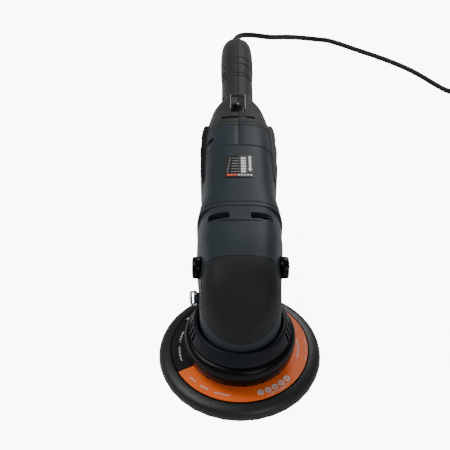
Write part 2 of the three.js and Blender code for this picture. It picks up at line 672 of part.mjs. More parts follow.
function makeHangingRing() {
  const [low, high] = RING_Z.map((z, i) => z + (i ? -1 : 1) * RING_WIRE_R);
  const bend = 2;
  const path = new THREE.CurvePath();
  const corner = (x, z) => new THREE.Vector3(x, 0, z);
  const outX = -RING_OUT;
  const middle = (low + high) / 2;
  const gap = RING_END_GAP / 2;
  const corners = [[0, low], [outX, low], [outX, high], [0, high]];
  let from = [0, middle - gap];
  corners.forEach(([x, z], i) => {
    const [nx, nz] = corners[i + 1] || [0, middle + gap];
    const [ax, az] = [x + Math.sign(from[0] - x) * bend, z + Math.sign(from[1] - z) * bend];
    const [bx, bz] = [x + Math.sign(nx - x) * bend, z + Math.sign(nz - z) * bend];
    path.add(new THREE.LineCurve3(corner(...from), corner(ax, az)));
    path.add(new THREE.QuadraticBezierCurve3(corner(ax, az), corner(x, z), corner(bx, bz)));
    from = [bx, bz];
  });
  path.add(new THREE.LineCurve3(corner(...from), corner(0, middle + gap)));
  const wire = new THREE.Shape().absarc(0, 0, RING_WIRE_R, 0, 2 * Math.PI, false);
  const ring = new THREE.ExtrudeGeometry(wire, {
    steps: 32, extrudePath: path, bevelEnabled: false, curveSegments: 4,
  });
  piece('hanging_ring', ring.translate(RING_X, RING_Y, 0), polishedSteel);
}

// --------------------------------------------------------------------- motor

function makeMotorHousing() {
  const stations = [MOTOR_START, 92, 101, 112, 126, MOTOR_END];
  const outer = loft(stations, bodyAt(0));
  const inner = loft([MOTOR_START - 5, 92, 101, 112, 126, MOTOR_END + 5], bodyAt(WALL), HOLLOW_SIDES);
  const pocketR = REAR_BEARING_R + GAP;
  const pocketEnd = REAR_BEARING_Y + REAR_BEARING_LONG + GAP;
  const bulkhead = turnedY([
    [7, MOTOR_END - 3], [34.2, MOTOR_END - 3], [34.2, MOTOR_END], [pocketR + 3, MOTOR_END],
    [pocketR + 3, pocketEnd + 2], [SHAFT_R + 0.5, pocketEnd + 2], [SHAFT_R + 0.5, pocketEnd],
    [pocketR, pocketEnd], [pocketR, MOTOR_END], [7, MOTOR_END],
  ]);
  const airways = steps(0, 5, 5).map((i) => {
    const turn = (i / 6) * 2 * Math.PI;
    return rodY(4, [MOTOR_END - 5, MOTOR_END + 1],
      24 * Math.cos(turn), MOTOR_Z + 24 * Math.sin(turn), 12);
  });
  piece('motor_housing', cut(join(cut(outer, inner), bulkhead), ...airways), housingBlue);
}

function makeStator() {
  const outline = new THREE.Shape().absarc(0, 0, CORE_R, 0, 2 * Math.PI, false);
  const [inX, outX, high] = [16, 29, 9.5];
  const bore = new THREE.Path().absarc(0, 0, CORE_BORE_R, 0, 2 * Math.PI, true);
  outline.holes.push(bore);
  const long = CORE_Y[1] - CORE_Y[0];
  const alongY = (shape, depth, y) => (
    shape.rotateX(Math.PI / 2).translate(0, y + depth, MOTOR_Z));
  const core = alongY(extruded(outline, long), long, CORE_Y[0]);
  const slots = [-1, 1].map((side) => box(side > 0 ? [inX, outX] : [-outX, -inX],
    [CORE_Y[0] - 1, CORE_Y[1] + 1], [MOTOR_Z - high, MOTOR_Z + high]));
  piece('stator_core', cut(core, ...slots), steel);

  const [coilIn, coilOut, sideHigh, headLong] = [21.5, 28.3, 8.5, 6];
  for (const [name, up] of [['field_coil_upper', 1], ['field_coil_lower', -1]]) {
    const arch = (y) => {
      const shape = new THREE.Shape();
      shape.absarc(0, 0, coilOut, 0.03, Math.PI - 0.03, false);
      shape.absarc(0, 0, coilIn, Math.PI - 0.03, 0.03, true);
      const turned = alongY(extruded(shape, headLong), headLong, y);
      return up > 0 ? turned : turned.translate(0, 0, -MOTOR_Z).rotateY(Math.PI)
        .translate(0, 0, MOTOR_Z);
    };
    const [from, to] = [CORE_Y[0] - GAP - headLong, CORE_Y[1] + GAP];
    const bars = [-1, 1].map((side) => box(
      side > 0 ? [coilIn + 0.6, coilOut - 0.4] : [0.4 - coilOut, -coilIn - 0.6],
      [from + 1, to + headLong - 1],
      up > 0 ? [MOTOR_Z + 1, MOTOR_Z + sideHigh] : [MOTOR_Z - sideHigh, MOTOR_Z - 1]));
    piece(name, join(arch(from), arch(to), ...bars), copper);
  }
}

function makeArmature() {
  const noseR = 3;
  piece('armature_shaft', turnedY([
    [0, CROWN_R - 4], [noseR, CROWN_R - 4], [noseR, CROWN_R + 4.3], [SHAFT_R, CROWN_R + 4.3],
    [SHAFT_R, REAR_BEARING_Y - 0.5], [SHAFT_R - 1, REAR_BEARING_Y - 0.5],
    [SHAFT_R - 1, SHAFT_END], [0, SHAFT_END],
  ], 24), steel);
  piece('front_bearing', turnedY(washerOutline(SHAFT_R + GAP, FRONT_BEARING_R,
    FRONT_BEARING_Y, FRONT_BEARING_Y + FRONT_BEARING_LONG), 32), steel);
  piece('rear_bearing', turnedY(washerOutline(SHAFT_R - 1 + GAP, REAR_BEARING_R,
    REAR_BEARING_Y, REAR_BEARING_Y + REAR_BEARING_LONG), 32), steel);

  const slots = 12;
  const [slotDeep, slotHalf] = [7, 1.6];
  const slotBars = steps(0, slots - 1, slots - 1).map((i) => {
    const reach = [ARMATURE_R - slotDeep, ARMATURE_R + 2];
    const bar = box([-slotHalf, slotHalf], [CORE_Y[0] - 1, CORE_Y[1] + 1], reach);
    return bar.rotateY((i / slots) * 2 * Math.PI).translate(0, 0, MOTOR_Z);
  });
  const core = turnedY(washerOutline(SHAFT_R + GAP, ARMATURE_R, ...CORE_Y));
  piece('armature_core', cut(core, ...slotBars), steel);

  const wireBars = steps(0, slots - 1, slots - 1).map((i) => {
    const reach = [ARMATURE_R - slotDeep + GAP, ARMATURE_R - 1.2];
    const bar = box([GAP - slotHalf, slotHalf - GAP], [CORE_Y[0] - 3, CORE_Y[1] + 3], reach);
    return bar.rotateY((i / slots) * 2 * Math.PI).translate(0, 0, MOTOR_Z);
  });
  const endCoil = (y0, y1) => turnedY([
    [SHAFT_R + 1.5, y0], [ARMATURE_R - 3.5, y0], [ARMATURE_R - 1, (y0 + y1) / 2],
    [ARMATURE_R - 3.5, y1], [SHAFT_R + 1.5, y1],
  ], 24);
  piece('armature_winding', join(
    endCoil(CORE_Y[0] - 8, CORE_Y[0] - GAP), endCoil(CORE_Y[1] + GAP, CORE_Y[1] + 8),
    ...wireBars), copper);

  piece('commutator', turnedY(washerOutline(
    SHAFT_R + GAP, COMM_R, COMM_Y, COMM_Y + COMM_LONG), 24), copper);

  const blades = steps(0, FAN_BLADES - 1, FAN_BLADES - 1).map((i) => (
    box([-0.8, 0.8], [FAN_Y + 1, FAN_Y + FAN_LONG], [SHAFT_R + 3, FAN_R - 0.6])
      .rotateY((i / FAN_BLADES) * 2 * Math.PI).translate(0, 0, MOTOR_Z)));
  const disc = turnedY([
    [SHAFT_R + GAP, FAN_Y], [FAN_R, FAN_Y], [FAN_R, FAN_Y + 1.8], [SHAFT_R + 5, FAN_Y + 1.8],
    [SHAFT_R + 4, FAN_Y + FAN_LONG], [SHAFT_R + GAP, FAN_Y + FAN_LONG],
  ]);
  piece('cooling_fan', join(disc, ...blades), blackPlastic);
}

function makeBrushes() {
  const middle = COMM_Y + COMM_LONG / 2;
  const square = (half) => [[middle - half, middle + half], [MOTOR_Z - half, MOTOR_Z + half]];
  for (const [hand, side] of [['left', -1], ['right', 1]]) {
    const span = (x0, x1) => (side > 0 ? [x0, x1] : [-x1, -x0]);
    const holder = cut(
      box(span(COMM_R + 2, BRUSH_HOLDER_OUT), ...square(BRUSH_HALF + GAP + 1.2)),
      box(span(COMM_R + 1, BRUSH_HOLDER_OUT + 1), ...square(BRUSH_HALF + GAP)));
    piece(`brush_holder_${hand}`, holder, copper);
    piece(`brush_${hand}`, box(span(COMM_R + GAP, COMM_R + 13), ...square(BRUSH_HALF)), carbon);
  }
}

// --------------------------------------------------------------- rear housing

const SCREWS = [
  { name: 'collar_screw', y: 190, z: 109 },
  { name: 'handle_screw_front', y: 286, z: 95 },
  { name: 'handle_screw_rear', y: 336, z: 93 },
];
const SCREW_HEAD_R = 3.1;
const SCREW_SHANK_R = 1.6;

// Screw post from the wall to the seam, one half of it on each clamshell side.
function screwPost({ y, z }, side) {
  const half = bodyAt(0)(y).half;
  return rodX(SCREW_HEAD_R + GAP + 1.4, side > 0 ? [SEAM, half - 1] : [1 - half, -SEAM], y, z, 20);
}

function clamshell(side, stations, openings, screws) {
  const first = stations[0];
  const last = stations[stations.length - 1];
  const closedEnd = last === HANDLE_END;
  const inward = stations.filter((y) => y > first && (!closedEnd || y < last - 3));
  const innerStations = [first - 5, ...inward];
  if (!closedEnd) innerStations.push(last + 5);
  const outer = solid(loft(stations, bodyAt(0)));
  const shell = cut(outer, loft(innerStations, bodyAt(WALL), HOLLOW_SIDES));
  const posts = screws.map((screw) => common(outer, screwPost(screw, side)));
  const bores = screws.map(({ y, z }) => rodX(SCREW_SHANK_R + GAP, [-40, 12], y, z, 16));
  const wells = screws.map(({ y, z }) => rodX(SCREW_HEAD_R + GAP, [-60, -6], y, z, 20));
  const half = box(side > 0 ? [SEAM, 90] : [-90, -SEAM], [first - 20, last + 20], [0, 200]);
  const whole = cut(join(shell, ...posts), ...openings, ...bores, ...(side < 0 ? wells : []));
  return common(whole, half);
}

const tilted = (shape) => shape.rotateX(SWITCH_PITCH).translate(0, SWITCH_Y, SWITCH_Z);

function makeRearHousing() {
  const collarStations = [MOTOR_END + GAP, 195, COLLAR_END - GAP];
  const handleStations = [
    COLLAR_END, 222, 239, 256, 266, 272, 277, 283, BULB_START, 352, 382, 402, 412, 417, HANDLE_END,
  ];
  const dialWindow = box([-DIAL_HALF_WINDOW, DIAL_HALF_WINDOW],
    [DIAL_Y - DIAL_THICK / 2 - 0.5, DIAL_Y + DIAL_THICK / 2 + 0.5], [98, 130]);
  const bedHalf = SWITCH_HALF + 0.7;
  const bedEnd = SWITCH_LONG / 2 + SWITCH_TRAVEL + 11;
  const bed = tilted(box([-bedHalf, bedHalf], [-SWITCH_LONG / 2 - 0.6, bedEnd], [-1.4, 12]));
  const slot = tilted(box([-2.6, 2.6], [-4.6, 4.6 + SWITCH_TRAVEL], [-8, 5]));
  const cordHole = rodY(5.2, [400, 440], CORD_EXIT.x, CORD_EXIT.z, 20);
  const floor = (side) => tilted(box(side > 0 ? [SEAM, bedHalf + 2] : [-bedHalf - 2, -SEAM],
    [-SWITCH_LONG / 2 - 2.6, bedEnd + 2], [-1.4 - BED_DEEP, -1.4 - 0.2]));
  for (const [hand, side] of [['left', -1], ['right', 1]]) {
    piece(`rear_collar_${hand}`, clamshell(side, collarStations, [], [SCREWS[0]]), housingBlue);
    const shell = clamshell(side, handleStations, [dialWindow, bed, slot, cordHole],
      SCREWS.slice(1));
    const bedFloor = cut(common(loft(handleStations, bodyAt(0)), floor(side)), slot);
    piece(`handle_${hand}`, join(shell, bedFloor), handleGrey);
  }
  for (const { name, y, z } of SCREWS) {
    const screw = turnedY([
      [0, -9], [SCREW_HEAD_R, -9], [SCREW_HEAD_R, -6 - GAP], [SCREW_SHANK_R, -6 - GAP],
      [SCREW_SHANK_R, 11], [0, 11],
    ], 16, 0).rotateZ(-Math.PI / 2);
    piece(name, screw.translate(0, y, z), steel);
  }
}

// Scalloped outline in plan, trimmed to stand on the housing's flank.
function makeSideCovers() {
  const [from, to] = COVER_Y;
  const count = 24;
  const body = loft([COVER_Y[0] - 10, 174, 200, 212, 222, COVER_Y[1] + 10], bodyAt(-GAP));
  for (const [hand, side] of [['left', -1], ['right', 1]]) {
    const outline = new THREE.Shape();
    outline.moveTo(side * 30, from);
    for (let i = 0; i <= count; i += 1) {
      const t = i / count;
      const y = from + (to - from) * t;
      const fade = Math.sin(Math.PI * t) ** 0.35;
      const wave = 0.72 + 0.28 * Math.abs(Math.sin(Math.PI * COVER_LOBES * t));
      outline.lineTo(side * (bodyAt(0)(y).half + 0.4 + (COVER_PROUD - 0.4) * fade * wave), y);
    }
    outline.lineTo(side * 30, to);
    const slab = extruded(outline, COVER_Z[1] - COVER_Z[0]).translate(0, 0, COVER_Z[0]);
    piece(`side_cover_${hand}`, cut(slab, body), blackPlastic);
  }
}

function makeLabelPlate() {
  const stations = [LABEL_Y[0] - 2, LABEL_Y[1] + 2];
  const skin = cut(loft(stations, bodyAt(-0.8)), loft([stations[0] - 1, stations[1] + 1], bodyAt(-GAP)));
  const patch = box([-LABEL_HALF, LABEL_HALF], LABEL_Y, [110, 140]);
  piece('label_plate', common(skin, patch), blackPrint);
}

// ------------------------------------------------------------------ controls

function makeControls() {
  const dialZ = MOTOR_Z;
  const [front, back] = [DIAL_Y - DIAL_THICK / 2, DIAL_Y + DIAL_THICK / 2];
  piece('speed_dial', turnedY([
    [3.3, front - 1.5], [7, front - 1.5], [7, front], [DIAL_R, front], [DIAL_R, back], [7, back],
    [7, back + 2], [3.3, back + 2],
  ], 32, dialZ), blackPlastic);
  const potStart = back + 2.6;
  const board = join(
    box([-13, 13], [potStart + 9, potStart + 10.6], [MOTOR_Z - 19, MOTOR_Z + 9]),
    rodY(9, [potStart, potStart + 9.5], 0, dialZ),
    rodY(3, [front - 1, potStart + 1], 0, dialZ),
  );
  piece('speed_control_board', board, fibreBoard);

  const ribs = steps(0, 3, 3).map((i) => (
    box([-SWITCH_HALF + 0.8, SWITCH_HALF - 0.8], [-7 + i * 2.6, -5.9 + i * 2.6],
      [SWITCH_HIGH - 0.5, SWITCH_HIGH + 0.7])));
  const button = join(
    box([-SWITCH_HALF, SWITCH_HALF], [-SWITCH_LONG / 2, SWITCH_LONG / 2],
      [-1.4 + GAP, SWITCH_HIGH]),
    ...ribs,
    box([-2, 2], [-4, 4], [-7.4, 0]),
    box([-5.5, 5.5], [-6, 6], [-7.4, -1.4 - BED_DEEP - GAP]));
  piece('switch_slider', tilted(geometryOf(button)), blackPlastic);
  piece('switch_body', box([-9, 9], [262, 292], [74, 88]), blackPlastic);
}

// ---------------------------------------------------------------------- cord

function makeCord() {
  const { x, y: exitY, z } = CORD_EXIT;
  const bore = CORD_R + GAP;
  const relief = turnedY([
    [bore, RELIEF_START], [7.5, RELIEF_START], [7.5, RELIEF_START + 4], [4.8, RELIEF_START + 4],
    [4.8, HANDLE_END + 3], [6.3, HANDLE_END + 3.2], [6.1, HANDLE_END + 8], [5, exitY - 3],
    [4.4, exitY], [bore, exitY],
  ], 20, z).translate(x, 0, 0);
  piece('strain_relief', relief, cordSheath);

  const route = new THREE.CatmullRomCurve3(
    CORD_ROUTE.map((p) => new THREE.Vector3(...p)), false, 'chordal');
  const section = new THREE.Shape().absarc(0, 0, CORD_R, 0, 2 * Math.PI, false);
  piece('cord', new THREE.ExtrudeGeometry(section, {
    steps: 46, extrudePath: route, bevelEnabled: false, curveSegments: 4,
  }), cordSheath);

  const coil = turnedZ([
    [COIL_IN_R, 5], [COIL_IN_R + 4, 0], [COIL_OUT_R - 4, 0], [COIL_OUT_R, 5],
    [COIL_OUT_R, COIL_HIGH - 5], [COIL_OUT_R - 4, COIL_HIGH], [COIL_IN_R + 4, COIL_HIGH],
    [COIL_IN_R, COIL_HIGH - 5],
  ], 32);
  piece('cord_coil', coil.translate(COIL_CENTRE[0], COIL_CENTRE[1], 0), cordSheath);

  const placed = (shape) => solid(shape).rotate([0, 0, -90]).translate([...PLUG_AT, 0]);
  const body = box([-18, 18], [-13, 21], [0, 26]);
  const waist = [-1, 1].map((side) => rodZ(13, [-1, 30], side * 27, 12, 24));
  const holes = [-1, 1].map((side) => rodY(PIN_R + GAP, [-14, -6], side * 9.5, 13, 16));
  const plug = placed(cut(body, ...waist, ...holes));
  piece('plug_body', plug, cordSheath);
  for (const [name, side] of [['plug_pin_left', -1], ['plug_pin_right', 1]]) {
    const pin = turnedY([
      [0, -6 - PIN_LONG - 7], [1.4, -6 - PIN_LONG - 7], [PIN_R, -6 - PIN_LONG - 5.4],
      [PIN_R, -6 - GAP], [0, -6 - GAP],
    ], 16, 13);
    piece(name, placed(pin.translate(side * 9.5, 0, 0)), steel);
  }
}

makePad();
makeEccentric();
makeCrownGear();
makePinion();
makeGearCase();
makeShroudAndCollar();
makeHead();
makeHangingRing();
makeMotorHousing();
makeStator();
makeArmature();
makeBrushes();
makeRearHousing();
makeSideCovers();
makeLabelPlate();
makeControls();
makeCord();

export default group;
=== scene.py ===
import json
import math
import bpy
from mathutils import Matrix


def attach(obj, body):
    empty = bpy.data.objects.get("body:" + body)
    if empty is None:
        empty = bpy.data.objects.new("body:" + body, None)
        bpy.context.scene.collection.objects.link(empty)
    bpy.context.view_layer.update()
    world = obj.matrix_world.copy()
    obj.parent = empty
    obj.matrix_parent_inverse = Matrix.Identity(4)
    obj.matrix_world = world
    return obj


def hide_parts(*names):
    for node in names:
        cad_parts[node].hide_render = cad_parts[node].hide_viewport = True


bl_info = {
    "name": "Orbital Polisher Parts",
    "version": (1, 0, 0),
    "blender": (4, 2, 0),
    "location": "View3D > Sidebar > Polisher",
    "description": "Builds the detailed pieces of a dual-action polisher on its CAD frame",
    "category": "Add Mesh",
}

import bmesh
import bpy
from mathutils import Matrix, Vector

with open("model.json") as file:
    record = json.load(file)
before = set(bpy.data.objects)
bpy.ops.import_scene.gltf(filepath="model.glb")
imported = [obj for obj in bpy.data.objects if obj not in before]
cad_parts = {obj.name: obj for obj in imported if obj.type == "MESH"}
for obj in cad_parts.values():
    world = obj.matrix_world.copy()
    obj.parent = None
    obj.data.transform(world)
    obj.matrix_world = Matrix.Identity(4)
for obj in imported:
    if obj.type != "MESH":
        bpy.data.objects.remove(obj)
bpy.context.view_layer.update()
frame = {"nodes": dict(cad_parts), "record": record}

# All sizes below are in millimetres. new_piece() and make_cord() scale them to metres.
MM = 0.001
SEAM = 0.15          # each half's distance from the middle plane
LIP = 0.9            # rounded edge at the end of a skin
SKIN_SIDES = 96
CLEAR = 60           # a cutting tool reaches this far sideways, past the body
ABOVE = 140          # and this high
HANDS = ((-1, "left"), (1, "right"))

# (y, value) stations: half width, top and bottom, and how square the section is

BODY_HALF = [
    (82, 39.9), (92, 38.9), (101, 37.6), (112, 35.8), (126, 35.2), (174, 35.2), (205, 35),
    (222, 34.2), (239, 32), (256, 29.2), (266, 26.8), (272, 24.2), (277, 21), (283, 17.6),
    (300, 17.3), (340, 17.4), (358, 18.3), (382, 18.5), (402, 17.6), (412, 15.6),
    (417, 12.6), (420, 8.5),
]
BODY_TOP = [
    (82, 122), (92, 121.2), (174, 119.8), (212, 116.4), (230, 113.4), (250, 109.6),
    (280, 105.6), (324, 102.4), (350, 103), (382, 102.4), (402, 99), (412, 95),
    (417, 91), (420, 86),
]
BODY_BOTTOM = [
    (82, 49.5), (92, 48), (174, 48), (212, 50.5), (250, 55.5), (280, 59.5), (324, 60),
    (350, 56.5), (382, 54.5), (402, 57), (412, 61), (417, 65), (420, 70),
]
BODY_SQUARE = [(82, 3.4), (212, 3), (274, 2.5), (420, 2.2)]
HOUSING_ENDS = (82, 174)
COLLAR_ENDS = (174.3, 212.2)
GRIP_ENDS = (212.5, 420)
HEAD_HALF = [(-2, 36), (8, 36.2), (27, 37.3), (45, 38.9), (64, 39.9), (82, 39.9)]
HEAD_TOP = [(11, 127), (30, 128), (57, 127.2), (71, 124.4), (82, 122)]
HEAD_LOW = [(46, 59.3), (60, 50), (82, 49.5)]
HEAD_END = 81.7
HEAD_SQUARE = 4
NOSE_BED = 2.4       # how deep the nose pad's bed lies under the skin
NOSE_R = 36
NOSE_Y = -2
NOSE_FOOT = 68       # where the front starts to lean back
NOSE_CREST_Y = 11    # where it reaches the top
NOSE_CREST_Z = 127
NOSE_PAD_THICK = 2.2
NOSE_PAD_FLANK = 100     # height on the flanks where its edge turns forward
NOSE_PAD_BEND = (17, 84)  # bend of that edge: how far forward, how high
NOSE_PAD_FRONT = -40
NOSE_PAD_HALF = 33.6
VENT_X = (9.5, 29)
VENT_Y = (59, 69.5)
BOSS_Y = 22.6
BOSS_Z = 101

MOTOR_Z = 84.5
WHEEL_R = 29
WHEEL_Y = (228, 231.2)
SWITCH_AT = (0, 251, 108.2)
SWITCH_TILT = -0.09
GRIP_GROOVES = (323.5, 329, 347, 359.5)
GROOVE_HALF = 1.1
GROOVE_DEEP = 0.75
SCREW_WELL_R = 3.6

PAD_Y = 7.5          # the pad's axis, off the spindle by the throw
PAD_PRINT = (12.8, 12.86)
RATING_PRINT = (0.81, 0.92)  # heights above the body's skin
CORD_R = 3.3
CORD_EXIT = (0, 446, 73)
CORD_ROUTE = [
    (0, 446.3, 73), (2.5, 456, 71), (9, 466, 67), (19, 475.5, 61.5), (31, 483, 55.5),
    (43.5, 492, 48.5), (56, 506, 40), (69, 521, 31), (82, 535, 22), (95, 547, 13.5),
    (109.5, 555, 7), (124, 557, 4.2), (139, 550.5, 3.4), (154.5, 540, 3.4),
    (170.5, 529, 3.4), (186.5, 518.5, 3.4), (201, 508, 3.4), (214.5, 497, 3.4),
    (227, 485.5, 3.4), (237.5, 474, 3.4), (247, 462, 3.4), (256, 450.5, 3.4),
    (265, 440.5, 3.4), (277, 432.5, 3.4), (291, 427.5, 3.4), (307, 425.2, 3.4),
    (325, 424.4, 3.4), (345, 424.3, 3.4),
]
COIL_CENTRE = (374, 371)
COIL_RADII = (53.5, 46.7, 39.9)
COIL_LAYERS = (3.4, 10.1, 16.8, 23.5)
PLUG_ENTRY = (326.4, 321, 13)
TIE_X = (34.6, 58.6)
TIE_TOP = 28
TIE_TURNS = (25.0, 205.0)

CAMERA_AT = (-0.0136, -0.5719, 0.6924)  # metres


# ------------------------------------------------------------------ materials


def node(tree, kind, x, y, **inputs):
    made = tree.nodes.new(kind)
    made.location = (x, y)
    for name, value in inputs.items():
        made.inputs[name.replace("_", " ")].default_value = value
    return made


def surface(name, colour, roughness, metallic=0.0, grain=0.0, grain_size=900.0,
            mottle=0.06, specular=0.5, sheen=0.0):
    """A procedural finish in object space: mottled colour, uneven gloss, fine grain."""
    made = bpy.data.materials.new(name)
    made.use_nodes = True
    tree = made.node_tree
    shader = tree.nodes["Principled BSDF"]
    shader.inputs["Metallic"].default_value = metallic
    shader.inputs["Specular IOR Level"].default_value = specular
    shader.inputs["Sheen Weight"].default_value = sheen
    where = node(tree, "ShaderNodeTexCoord", -1100, 0)
    broad = node(tree, "ShaderNodeTexNoise", -880, 200, Scale=55.0, Detail=4.0)
    fine = node(tree, "ShaderNodeTexNoise", -880, -160, Scale=grain_size, Detail=3.0)
    tint = node(tree, "ShaderNodeMix", -560, 260)
    tint.data_type = "RGBA"
    low = tuple(c * (1 - mottle) for c in colour) + (1,)
    high = tuple(min(1.0, c * (1 + mottle)) for c in colour) + (1,)
    tint.inputs[6].default_value = low
    tint.inputs[7].default_value = high
    gloss = node(tree, "ShaderNodeMapRange", -560, 0)
    gloss.inputs["To Min"].default_value = max(0.02, roughness - 0.05)
    gloss.inputs["To Max"].default_value = min(1.0, roughness + 0.05)
    link = tree.links.new
    link(where.outputs["Object"], broad.inputs["Vector"])
    link(where.outputs["Object"], fine.inputs["Vector"])
    link(broad.outputs["Fac"], tint.inputs["Factor"])
    link(tint.outputs[2], shader.inputs["Base Color"])
    link(fine.outputs["Fac"], gloss.inputs["Value"])
    link(gloss.outputs["Result"], shader.inputs["Roughness"])
    if grain:
        bump = node(tree, "ShaderNodeBump", -300, -220, Strength=grain, Distance=0.0003)
        link(fine.outputs["Fac"], bump.inputs["Height"])
        link(bump.outputs["Normal"], shader.inputs["Normal"])
    return made


# name: base colour, roughness, and what else surface() takes
FINISHES = {
    "housing_plastic": ((0.021, 0.0295, 0.0365), 0.44, dict(grain=0.25, specular=0.14)),
    "handle_plastic": ((0.026, 0.0295, 0.0285), 0.5, dict(grain=0.4, specular=0.14)),
    "black_plastic": ((0.0014, 0.001, 0.0012), 0.26, dict(grain=0.12, specular=0.14)),
    "collar_plastic": ((0.0065, 0.0082, 0.0122), 0.4, dict(grain=0.2, specular=0.13)),
    "soft_rubber": ((0.0165, 0.0175, 0.0185), 0.52, dict(grain=0.5, grain_size=1400.0, specular=0.12)),
    "pad_foam": ((0.010, 0.0105, 0.0125), 0.38, dict(grain=0.4, sheen=0.05, specular=0.35)),
    "hook_fabric": ((0.02, 0.02, 0.02), 0.9, dict(grain=0.9, grain_size=1600.0)),
    "orange_print": ((1.0, 0.16, 0.025), 0.36, dict(mottle=0.02, specular=0.35)),
    "black_print": ((0.008, 0.008, 0.008), 0.4, dict(mottle=0.02, specular=0.25)),
    "steel": ((0.45, 0.45, 0.46), 0.32, dict(metallic=1.0)),
    "polished_steel": ((0.75, 0.75, 0.76), 0.14, dict(metallic=1.0)),
    "aluminium": ((0.6, 0.61, 0.62), 0.45, dict(metallic=1.0, grain=0.3)),
    "copper": ((0.62, 0.26, 0.11), 0.35, dict(metallic=1.0)),
    "carbon": ((0.02, 0.02, 0.02), 0.7, {}),
    "fibre_board": ((0.03, 0.09, 0.04), 0.5, {}),
    "cord_sheath": ((0.009, 0.009, 0.01), 0.5, dict(grain=0.2, specular=0.2)),
}
PRINTS = {
    "print_white": ((0.7, 0.7, 0.7), 0.5),
    "print_grey": ((0.25, 0.26, 0.27), 0.5),
    "print_orange": ((0.78, 0.09, 0.01), 0.45),
}


def finish_of(name):
    """The named finish, made once. Its prefix keeps it apart from the CAD's own materials."""
    look = f"look_{name}"
    found = bpy.data.materials.get(look)
    if found:
        return found
    if name in PRINTS:
        colour, roughness = PRINTS[name]
        return surface(look, colour, roughness, mottle=0.02)
    colour, roughness, extra = FINISHES[name]
    return surface(look, colour, roughness, **extra)


# ------------------------------------------------------------------- modelling


def along(points, y):
    """Monotone cubic through the points, held level beyond both ends."""
    if y <= points[0][0]:
        return points[0][1]
    if y >= points[-1][0]:
        return points[-1][1]
    i = max(k for k, p in enumerate(points) if p[0] <= y)
    i = min(i, len(points) - 2)
    slopes = [(b[1] - a[1]) / (b[0] - a[0]) for a, b in zip(points, points[1:])]

    def tangent(k):
        if k in (0, len(points) - 1):
            return slopes[0 if k == 0 else -1]
        a, b = slopes[k - 1], slopes[k]
        return 2 * a * b / (a + b) if a * b > 0 else 0.0

    (y0, v0), (y1, v1) = points[i], points[i + 1]
    span = y1 - y0
    t = (y - y0) / span
    return (
        v0 * (1 + 2 * t) * (1 - t) ** 2
        + tangent(i) * span * t * (1 - t) ** 2
        + v1 * t * t * (3 - 2 * t)
        + tangent(i + 1) * span * t * t * (t - 1)
    )


def power(value, exponent):
    return math.copysign(abs(value) ** exponent, value)


def ring(half, low, top, square, flat=False):
    """A rounded-square section as (x, z) points; a flat one has a level bottom."""
    middle = low if flat else (low + top) / 2
    points = []
    for k in range(SKIN_SIDES):
        turn = 2 * math.pi * k / SKIN_SIDES
        x = half * power(math.cos(turn), 2 / square)
        rise = power(math.sin(turn), 2 / square)
        z = middle + (top - middle) * rise
        points.append((x, max(low, z) if flat else z))
    return points


def body_ring(y, inset):
    return ring(
        along(BODY_HALF, y) - inset,
        along(BODY_BOTTOM, y) + inset,
        along(BODY_TOP, y) - inset,
        along(BODY_SQUARE, y),
    )


def head_ring(y, inset):
    half = along(HEAD_HALF, y)
    if y < NOSE_Y:
        half = math.sqrt(max(0.0, NOSE_R ** 2 - (y - NOSE_Y) ** 2))
    top = along(HEAD_TOP, y)
    if y < NOSE_CREST_Y:
        share = min(1.0, (NOSE_CREST_Y - y) / (NOSE_CREST_Y - NOSE_Y + NOSE_R))
        top = NOSE_FOOT + (NOSE_CREST_Z - NOSE_FOOT) * math.sqrt(1 - share ** 2)
    return ring(
        max(0.3, half - inset), along(HEAD_LOW, y) + inset, top - inset, HEAD_SQUARE, True
    )


def loft(bm, stations):
    """A closed skin through (y, [(x, z), ...]) stations."""
    rings = [[bm.verts.new((x, y, z)) for x, z in points] for y, points in stations]
    for a, b in zip(rings, rings[1:]):
        for k in range(len(a)):
            n = (k + 1) % len(a)
            bm.faces.new((a[k], b[k], b[n], a[n]))
    bm.faces.new(rings[0])
    bm.faces.new(list(reversed(rings[-1])))
    bmesh.ops.recalc_face_normals(bm, faces=bm.faces)


def lip(y, start, end, size=LIP):
    """How far the skin draws in near each end, as a rounded edge."""
    near = min(y - start, end - y)
    if near >= size:
        return 0.0
    return size * (1 - math.sqrt(max(0.0, 1 - (1 - near / size) ** 2)))


def lipped(start, end, inner):
    """Stations from end to end, close together where the edges are rounded."""
    ends = [0.0, 0.12, 0.3, 0.55, LIP]
    return (
        [start + e for e in ends]
        + [y for y in inner if start + 1.2 < y < end - 1.2]
        + [end - e for e in reversed(ends)]
    )


def spin(bm, profile, steps, centre=(0, 0), axis="Z"):
    """A closed turned body from an (r, place on the axis) outline."""
    rings = []
    for k in range(steps):
        turn = 2 * math.pi * k / steps
        c, s = math.cos(turn), math.sin(turn)
        at = []
        for r, z in profile:
            if axis == "Z":
                at.append((centre[0] + r * c, centre[1] + r * s, z))
            else:
                at.append((centre[0] + r * c, z, centre[1] + r * s))
        rings.append([bm.verts.new(p) for p in at])
    for k in range(steps):
        a, b = rings[k], rings[(k + 1) % steps]
        for i in range(len(profile)):
            n = (i + 1) % len(profile)
            bm.faces.new((a[i], b[i], b[n], a[n]))
    bmesh.ops.remove_doubles(bm, verts=bm.verts, dist=1e-4)
    bmesh.ops.recalc_face_normals(bm, faces=bm.faces)


